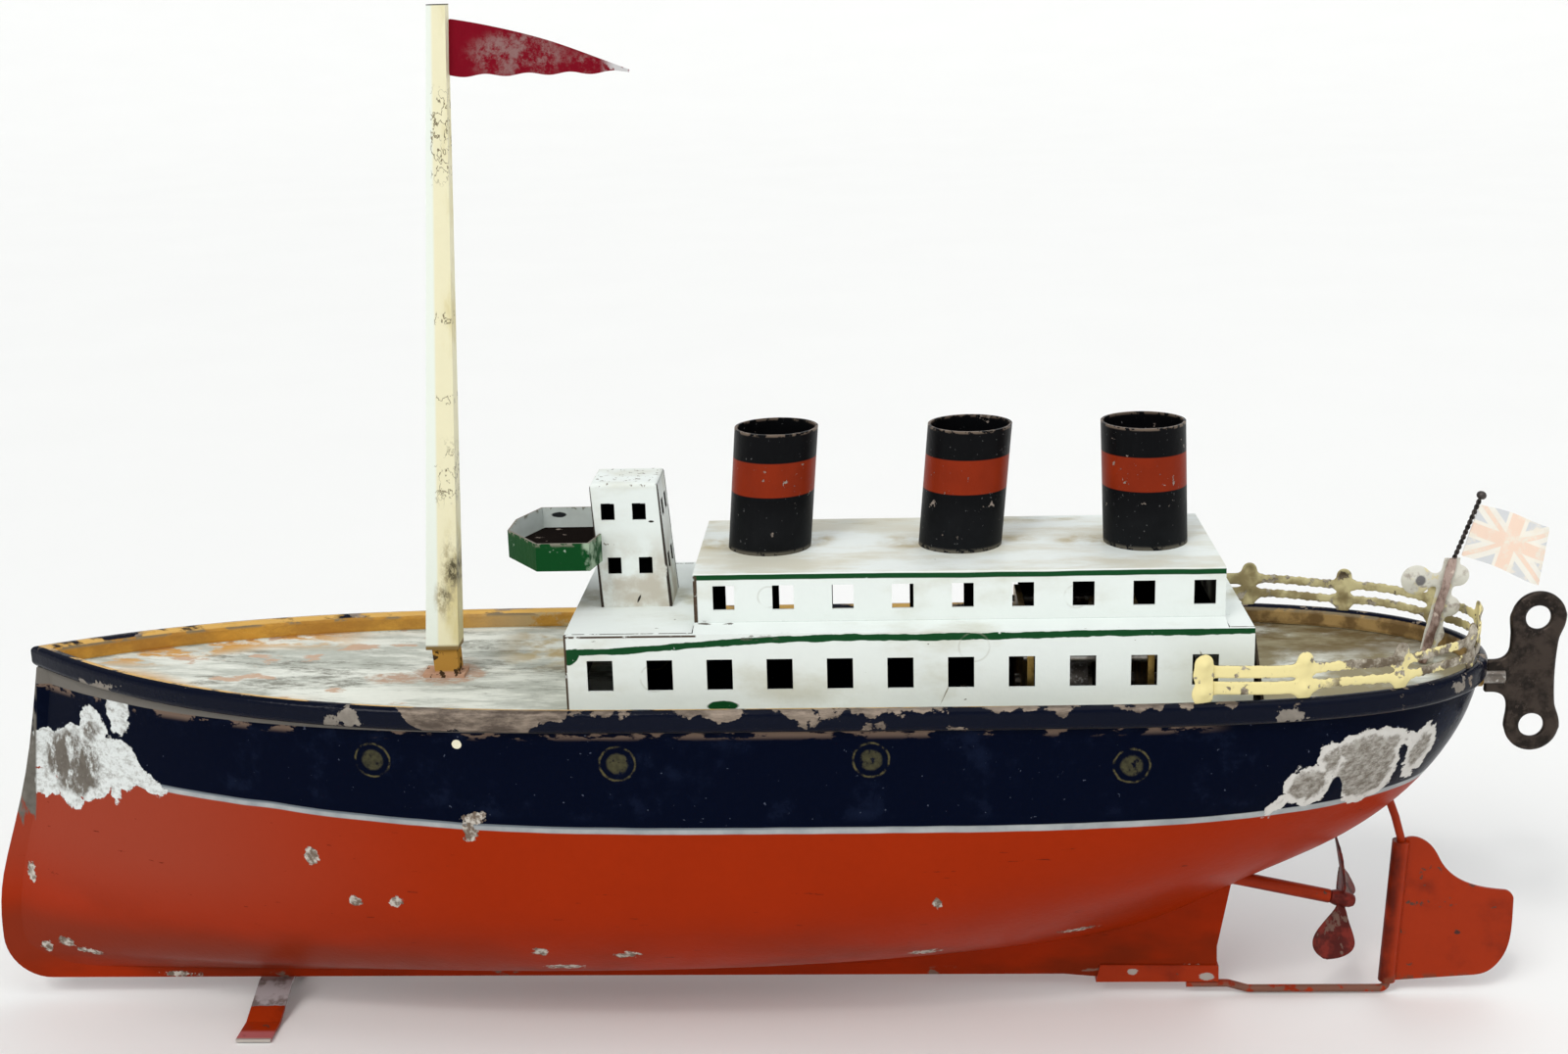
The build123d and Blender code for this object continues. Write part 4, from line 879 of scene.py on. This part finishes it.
def stamp(shape, inside, span, rise, step, place, thick, rounding=0.0):
    """Adds a sheet cut to where inside(u, v) is positive; place(u, v) gives its middle and its normal, in mm."""
    across = np.linspace(*span, round((span[1] - span[0]) / step) + 1)
    up = np.linspace(*rise, round((rise[1] - rise[0]) / step) + 1)
    u, v = (grid.copy() for grid in np.meshgrid(across, up, indexing="ij"))
    kept = np.pad(inside((u[:-1, :-1] + u[1:, 1:]) / 2, (v[:-1, :-1] + v[1:, 1:]) / 2) > 0, 1)
    around = kept[:-1, :-1].astype(int) + kept[1:, :-1] + kept[:-1, 1:] + kept[1:, 1:]
    rim = (around > 0) & (around < 4)
    pu, pv = u[rim], v[rim]
    for _ in range(5):
        depth = inside(pu, pv)
        gu = (inside(pu + 0.02, pv) - inside(pu - 0.02, pv)) / 0.04
        gv = (inside(pu, pv + 0.02) - inside(pu, pv - 0.02)) / 0.04
        size = np.maximum(gu * gu + gv * gv, 0.2)
        pu = pu - np.clip(depth * gu / size, -step / 3, step / 3)
        pv = pv - np.clip(depth * gv / size, -step / 3, step / 3)
    u[rim], v[rim] = pu, pv
    half = np.full(u.shape, thick / 2)
    if rounding:
        share = 1 - np.clip(inside(u, v) / rounding, 0, 1)
        half = half * (0.4 + 0.6 * np.sqrt(1 - share * share))
    front, back = {}, {}
    for i, j in zip(*np.nonzero(around)):
        middle, normal = place(float(u[i, j]), float(v[i, j]))
        front[i, j] = shape.verts.new((middle + normal * float(half[i, j])) * 0.001)
        back[i, j] = shape.verts.new((middle - normal * float(half[i, j])) * 0.001)
    for i, j in zip(*np.nonzero(kept[1:-1, 1:-1])):
        ring = [(i, j), (i + 1, j), (i + 1, j + 1), (i, j + 1)]
        shape.faces.new([front[corner] for corner in ring])
        shape.faces.new([back[corner] for corner in reversed(ring)])
        beyond = (kept[i + 1, j], kept[i + 2, j + 1], kept[i + 1, j + 2], kept[i, j + 1])
        for a, b, neighbour in zip(ring, ring[1:] + ring[:1], beyond):
            if not neighbour:
                shape.faces.new([front[b], front[a], back[a], back[b]])


def tube(shape, path, radii, steps=12):
    """Adds a round bar along a path, in mm, closed at both ends."""
    path = [Vector(point) for point in path]
    side, rings = None, []
    for i, point in enumerate(path):
        ahead = (path[min(i + 1, len(path) - 1)] - path[max(i - 1, 0)]).normalized()
        side = (ahead.orthogonal() if side is None else side - ahead * side.dot(ahead)).normalized()
        other = ahead.cross(side)
        turns = [2 * math.pi * k / steps for k in range(steps)]
        ring = [point + (side * math.cos(t) + other * math.sin(t)) * radii[i] for t in turns]
        rings.append([shape.verts.new(corner * 0.001) for corner in ring])
    for low, high in zip(rings, rings[1:]):
        for k in range(steps):
            shape.faces.new((low[k], low[(k + 1) % steps], high[(k + 1) % steps], high[k]))
    shape.faces.new(rings[0])
    shape.faces.new(rings[-1])


def smooth_mesh(shape, name):
    bmesh.ops.recalc_face_normals(shape, faces=shape.faces)
    mesh = bpy.data.meshes.new(name)
    shape.to_mesh(mesh)
    shape.free()
    mesh.polygons.foreach_set("use_smooth", [True] * len(mesh.polygons))
    return mesh


def piece(shape, name, material, body, slot_name, *instead, sharp=40):
    """The finished object, riding on a body and standing for CAD nodes."""
    mesh = smooth_mesh(shape, name)
    mesh.set_sharp_from_angle(angle=math.radians(sharp))
    made = bpy.data.objects.new(name, mesh)
    scene.collection.objects.link(made)
    wear(made, material)
    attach(made, body)
    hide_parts(*instead)
    return made


def upright(y, bend=None):
    """A place function for a sheet standing in the middle plane at that y: u runs aft and v up."""

    def place(u, v):
        return Vector((u, y + (bend(u, v) if bend else 0.0), v)), Vector((0, 1, 0))

    return place


# ---------------------------------------------------------------- stern rail
RAIL_POSTS = (0.0, 14.0, 33.0, 52.0, 71.0)  # distances from the stern along the rail, to each side
RAIL_CENTRE = 60  # the rail is followed round this point
END_RUN = 6


def rail_line():
    """Middle of the rail's sheet in plan, from the port end round the stern to the starboard end."""
    corners = [vertex.co * 1000 for vertex in nodes["stern_rail"].data.vertices]
    level = [corner for corner in corners if abs(corner.z - GUNWALE - 4.4) < 0.02]
    farthest = {}
    for corner in level:
        turn = round(math.degrees(math.atan2(corner.y, corner.x - RAIL_CENTRE)) / 3)
        reach = math.hypot(corner.x - RAIL_CENTRE, corner.y)
        if reach > farthest.get(turn, (0, 0))[0]:
            farthest[turn] = (reach, math.atan2(corner.y, corner.x - RAIL_CENTRE))
    turns = np.array([farthest[turn][1] for turn in sorted(farthest)])
    reach = np.array([farthest[turn][0] for turn in sorted(farthest)]) - 0.3
    fine = np.linspace(turns[0], turns[-1], 400)
    smooth = np.interp(fine, turns, reach)
    smooth[8:-8] = np.convolve(smooth, np.ones(17) / 17, "valid")
    x, y = RAIL_CENTRE + smooth * np.cos(fine), smooth * np.sin(fine)

    def beyond(end, inner):
        """A point past an end of the line, straight on from the last stretch."""
        dx, dy = x[end] - x[inner], y[end] - y[inner]
        run = math.hypot(dx, dy)
        return x[end] + END_RUN * dx / run, y[end] + END_RUN * dy / run

    first, last = beyond(0, 9), beyond(-1, -10)
    x = np.concatenate(([first[0]], x, [last[0]]))
    y = np.concatenate(([first[1]], y, [last[1]]))
    along = np.concatenate(([0], np.cumsum(np.hypot(np.diff(x), np.diff(y)))))
    return along - along[-1] / 2, x, y


def rail_piece():
    along, x, y = rail_line()
    ends = RAIL_POSTS[-1]
    posts = [sign * distance for distance in RAIL_POSTS for sign in ((1,) if distance == 0 else (-1, 1))]

    def inside(u, v):
        worn = np.clip((54 - np.abs(u)) / 6, 0, 1)
        rough = 0.08 * np.sin(u * 2.3) + 0.06 * np.sin(u * 5.1 + 1.0)
        low = 1.22 - (0.4 + rough) * worn - np.abs(v - 2.3)
        high = 1.16 - (0.3 - rough) * worn - np.abs(v - 5.4)
        made = np.minimum(np.maximum(low, high), ends - np.abs(u))
        for at in posts:
            wide = 1.5 if abs(at) == ends else 1.15
            post = slab(u, v, at - wide, at + wide, -0.3, 7.4, 0.5)
            for level, radius in ((7.3, 1.55), (5.3, 1.75), (1.7, 1.9)):
                post = fused(post, disc(u, v, at, level, radius * (1.12 if abs(at) == ends else 0.95)), 0.6)
            made = fused(made, post, 1.3)
        return made

    def on_line(u):
        return Vector((float(np.interp(u, along, x)), float(np.interp(u, along, y)), 0))

    def place(u, v):
        run = (on_line(u + 0.8) - on_line(u - 0.8)).normalized()
        out = Vector((run.y, -run.x, 0))
        near = min(posts, key=lambda at: abs(at - u))
        bosses = ((7.2, 0.8), (5.3, 0.35), (1.9, 0.5))
        boss = sum(h * math.exp(-((u - near) ** 2 + (v - level) ** 2) / 1.3) for level, h in bosses)
        point = on_line(u) + Vector((0, 0, GUNWALE + v))
        ripple = Vector((0, 0, 0.12 * math.sin(u * 0.27 + 1)))
        return point + out * (boss + 0.15 * math.sin(u * 0.31)) + ripple, out

    shape = bmesh.new()
    stamp(shape, inside, (-ends - 4, ends + 4), (-0.8, 9.6), 0.26, place, 0.5, 0.3)
    piece(shape, "rail_sheet", rail_paint, "boat", "cream_paint", "stern_rail")


rail_piece()


# ---------------------------------------------------------------- key, flags, staff and its bracket
KEY_EYES = (79.6, 57.6)
STAFF_STRIP = 21.6  # length of the flat lower part


def key_piece():
    def inside(u, v):
        made = slab(u, v, 147.4, 157.6, 57.2, 80.2, 0.6)
        made = np.minimum(made, np.hypot(u - 216.2, v - 68.8) - 60.0)
        for level in KEY_EYES:
            made = fused(made, disc(u, v, 152.5, level, 5.2), 1.0)
        made = fused(made, slab(u, v, 142.9, 149.0, 64.5, 71.1, 0.4), 3.2)
        for level in KEY_EYES:
            made = np.minimum(made, np.hypot(u - 152.4, v - level) - 2.4)
        return made

    shape = bmesh.new()
    stamp(shape, inside, (142, 159), (51, 86), 0.32, upright(0.0), 1.4, 0.75)
    piece(shape, "key_plate", key_steel, "winding", "dark_steel", "winding_key", sharp=60)


def flag_pieces():
    def pennant_inside(u, v):
        share = (u + 51.6) / 32
        high = 197.0 - 5.0 * share - 4.6 * share**2
        return np.minimum(np.minimum(high - v, v - 186.7 - 0.25 * np.sin(u * 0.8)), u + 51.9 - (v - 186.6) * 0.06)

    def ripple(u, v):
        share = (u + 52) / 32
        return 0.9 * share * math.sin(u * 0.33 + 0.5) + 1.4 * max(0.0, share - 0.75) ** 2 * 16 * 0.3

    shape = bmesh.new()
    stamp(shape, pennant_inside, (-52.6, -18.8), (186.0, 197.6), 0.4, upright(0.0, ripple), 0.3)
    piece(shape, "pennant_sheet", pennant_paint, "boat", "pennant_paint", "pennant", sharp=60)

    def ensign_inside(u, v):
        share = (u - 137) / 15.8
        top = 102.7 - 4.6 * share + 0.5 * np.sin(share * 4)
        low = 92.2 - 6.2 * share + 0.3 * np.sin(share * 5)
        fly = 153.3 + 0.1 * (v - 98.4)
        hoist = 137.1 + 0.277 * (v - 92.2)
        return np.minimum(np.minimum(top - v, v - low), np.minimum(fly - u, u - hoist))

    def wave(u, v):
        share = max(0.0, (u - 138.5) / 15)
        return 1.1 * share * math.sin(u * 0.55 - v * 0.1 + 0.6)

    shape = bmesh.new()
    stamp(shape, ensign_inside, (136.4, 154.2), (85.2, 103.4), 0.4, upright(0.0, wave), 0.24)
    piece(shape, "ensign_sheet", ensign_print, "boat", "ensign_paint", "ensign", sharp=60)


def staff_pieces():
    foot, bend, top = (130.7, 70.5), (135.6, 91.6), (140.0, 103.6)

    def strip_inside(u, v):
        return slab(u, v, 0.0, STAFF_STRIP, -0.82 + 0.1 * np.sin(u * 0.9), 0.82 + 0.08 * np.sin(u * 1.7), 0.3)

    def strip_place(u, v):
        run = Vector((bend[0] - foot[0], 0, bend[1] - foot[1])).normalized()
        across = Vector((run.z, 0, -run.x))
        bow = 0.25 * math.sin(u / STAFF_STRIP * math.pi)
        return Vector((foot[0], -0.1 - bow, foot[1])) + run * u + across * v, Vector((0, 1, 0))

    shape = bmesh.new()
    stamp(shape, strip_inside, (-0.4, 22.0), (-1.2, 1.2), 0.24, strip_place, 0.4, 0.2)
    start, end = Vector((bend[0] - 0.5, 0, bend[1] - 1.8)), Vector((top[0], 0, top[1]))
    run = (end - start).normalized()
    side = run.cross(Vector((0, 1, 0)))
    for strand in range(2):
        path = []
        for i in range(73):
            share = i / 72
            turn = math.pi * strand + share * 2 * math.pi * 7
            path.append(
                start.lerp(end, share) + (side * math.cos(turn) + Vector((0, 1, 0)) * math.sin(turn)) * 0.24
            )
        tube(shape, path, [0.25] * len(path), 8)
    knob = [(-0.7, 0.35), (-0.5, 0.75), (-0.1, 0.95), (0.35, 0.9), (0.7, 0.6), (0.85, 0.2)]
    tube(shape, [end + run * (at + 0.4) for at, _ in knob], [radius for _, radius in knob], 16)
    piece(shape, "staff_wire", dark_wire, "boat", "dark_steel", "flagstaff")

    def ears(u, v):
        made = hull_of(u, v, [(129.9, 70.4), (133.0, 70.4), (137.2, 91.5), (134.2, 91.5)])
        made = fused(made, slab(u, v, 129.0, 135.4, 85.9, 88.5, 0.5), 1.0)
        for across, up, radius in ((129.0, 87.2, 2.9), (136.9, 88.0, 2.1), (135.6, 81.8, 2.0), (133.2, 76.2, 1.7)):
            made = fused(made, disc(u, v, across, up, radius), 0.9)
        return made

    def dished(u, v):
        out = -0.55 * math.exp(-((u - 128.8) ** 2 + (v - 87.2) ** 2) / 3.4)
        return (
            out
            - (0.4 * math.exp(-((u - 136.9) ** 2 + (v - 88.0) ** 2) / 1.8))
            - (0.3 * math.exp(-((u - 135.6) ** 2 + (v - 81.8) ** 2) / 1.8))
        )

    shape = bmesh.new()
    stamp(shape, ears, (125.4, 139.8), (70.0, 92.2), 0.3, upright(0.75, dished), 0.45, 0.25)
    piece(shape, "staff_ears", bracket_tin, "boat", "cream_paint", "staff_bracket")


key_piece()
flag_pieces()
staff_pieces()


# ---------------------------------------------------------------- screw
def screw_piece():
    hub = Vector((117.5, 0, 20.7))
    axis = Vector((0.976, 0, -0.2164)).normalized()
    side = Vector((0, 1, 0))
    above = axis.cross(side)
    shape = bmesh.new()
    profile = [(-2.4, 0.9), (-2.2, 1.3), (-1.2, 1.6), (0.6, 1.6), (1.8, 1.45), (2.5, 1.1), (2.7, 0.7)]
    tube(shape, [hub + axis * at for at, _ in profile], [radius for _, radius in profile], 20)
    # each leaf: turn, pitch and twist in degrees, rake per millimetre, half width
    blades = ((-10.0, -10.0, 8.0, -0.4, 2.6), (146.0, 78.0, -24.0, -0.2, 4.6), (272.0, -44.0, 10.0, 0.4, 3.3))
    for turn, pitch, twist, rake, wide in blades:
        angle = math.radians(turn)
        out = above * math.cos(angle) - side * math.sin(angle)
        around = side * math.cos(angle) + above * math.sin(angle)

        def inside(u, v, wide=wide):
            share = np.clip((v - 1.0) / 11.6, 0, 1)
            half = wide * np.sin(np.pi * np.clip(share**1.9, 0, 1)) ** 0.6 + 1.0 * (1 - share) ** 1.5
            return np.minimum(half - np.abs(u), np.minimum(v - 1.2, 12.55 - v))

        def place(u, v, out=out, around=around, pitch=pitch, twist=twist, rake=rake):
            lean = math.radians(pitch + twist * (1 - v / 12))
            chord = around * math.cos(lean) - axis * math.sin(lean)
            face = around * math.sin(lean) + axis * math.cos(lean)
            return hub + out * v + chord * u + face * (0.05 * u * u) + axis * (rake * max(0.0, v - 2.5)), face

        stamp(shape, inside, (-5.0, 5.0), (0.8, 13.0), 0.36, place, 0.5, 0.3)
    piece(shape, "screw_leaves", propeller_paint, "screw", "propeller_paint", "propeller")


screw_piece()


# ---------------------------------------------------------------- floor
def dish(name, flat, reach, rise, rings=16, steps=64):
    """A round floor that curves up far away, so that it closes the horizon."""
    shape = bmesh.new()
    circles = []
    for ring in range(rings + 1):
        share = ring / rings
        radius = flat + (reach - flat) * share
        turns = (2 * math.pi * i / steps for i in range(steps))
        circles.append(
            [shape.verts.new((radius * math.cos(t), radius * math.sin(t), rise * share ** 2)) for t in turns]
        )
    shape.faces.new(circles[0])
    for inner, outer in zip(circles, circles[1:]):
        for i in range(steps):
            shape.faces.new((inner[i], outer[i], outer[(i + 1) % steps], inner[(i + 1) % steps]))
    return bpy.data.objects.new(name, smooth_mesh(shape, name))


table_top = dish("table_top", 2.0, 6.0, 2.4)
table_top.location.z = -0.0003
scene.collection.objects.link(table_top)
pale = Look("table_white", (236, 236, 234), 0.6)
pale.tint(0.015, 0.01)
wear(table_top, pale.make())
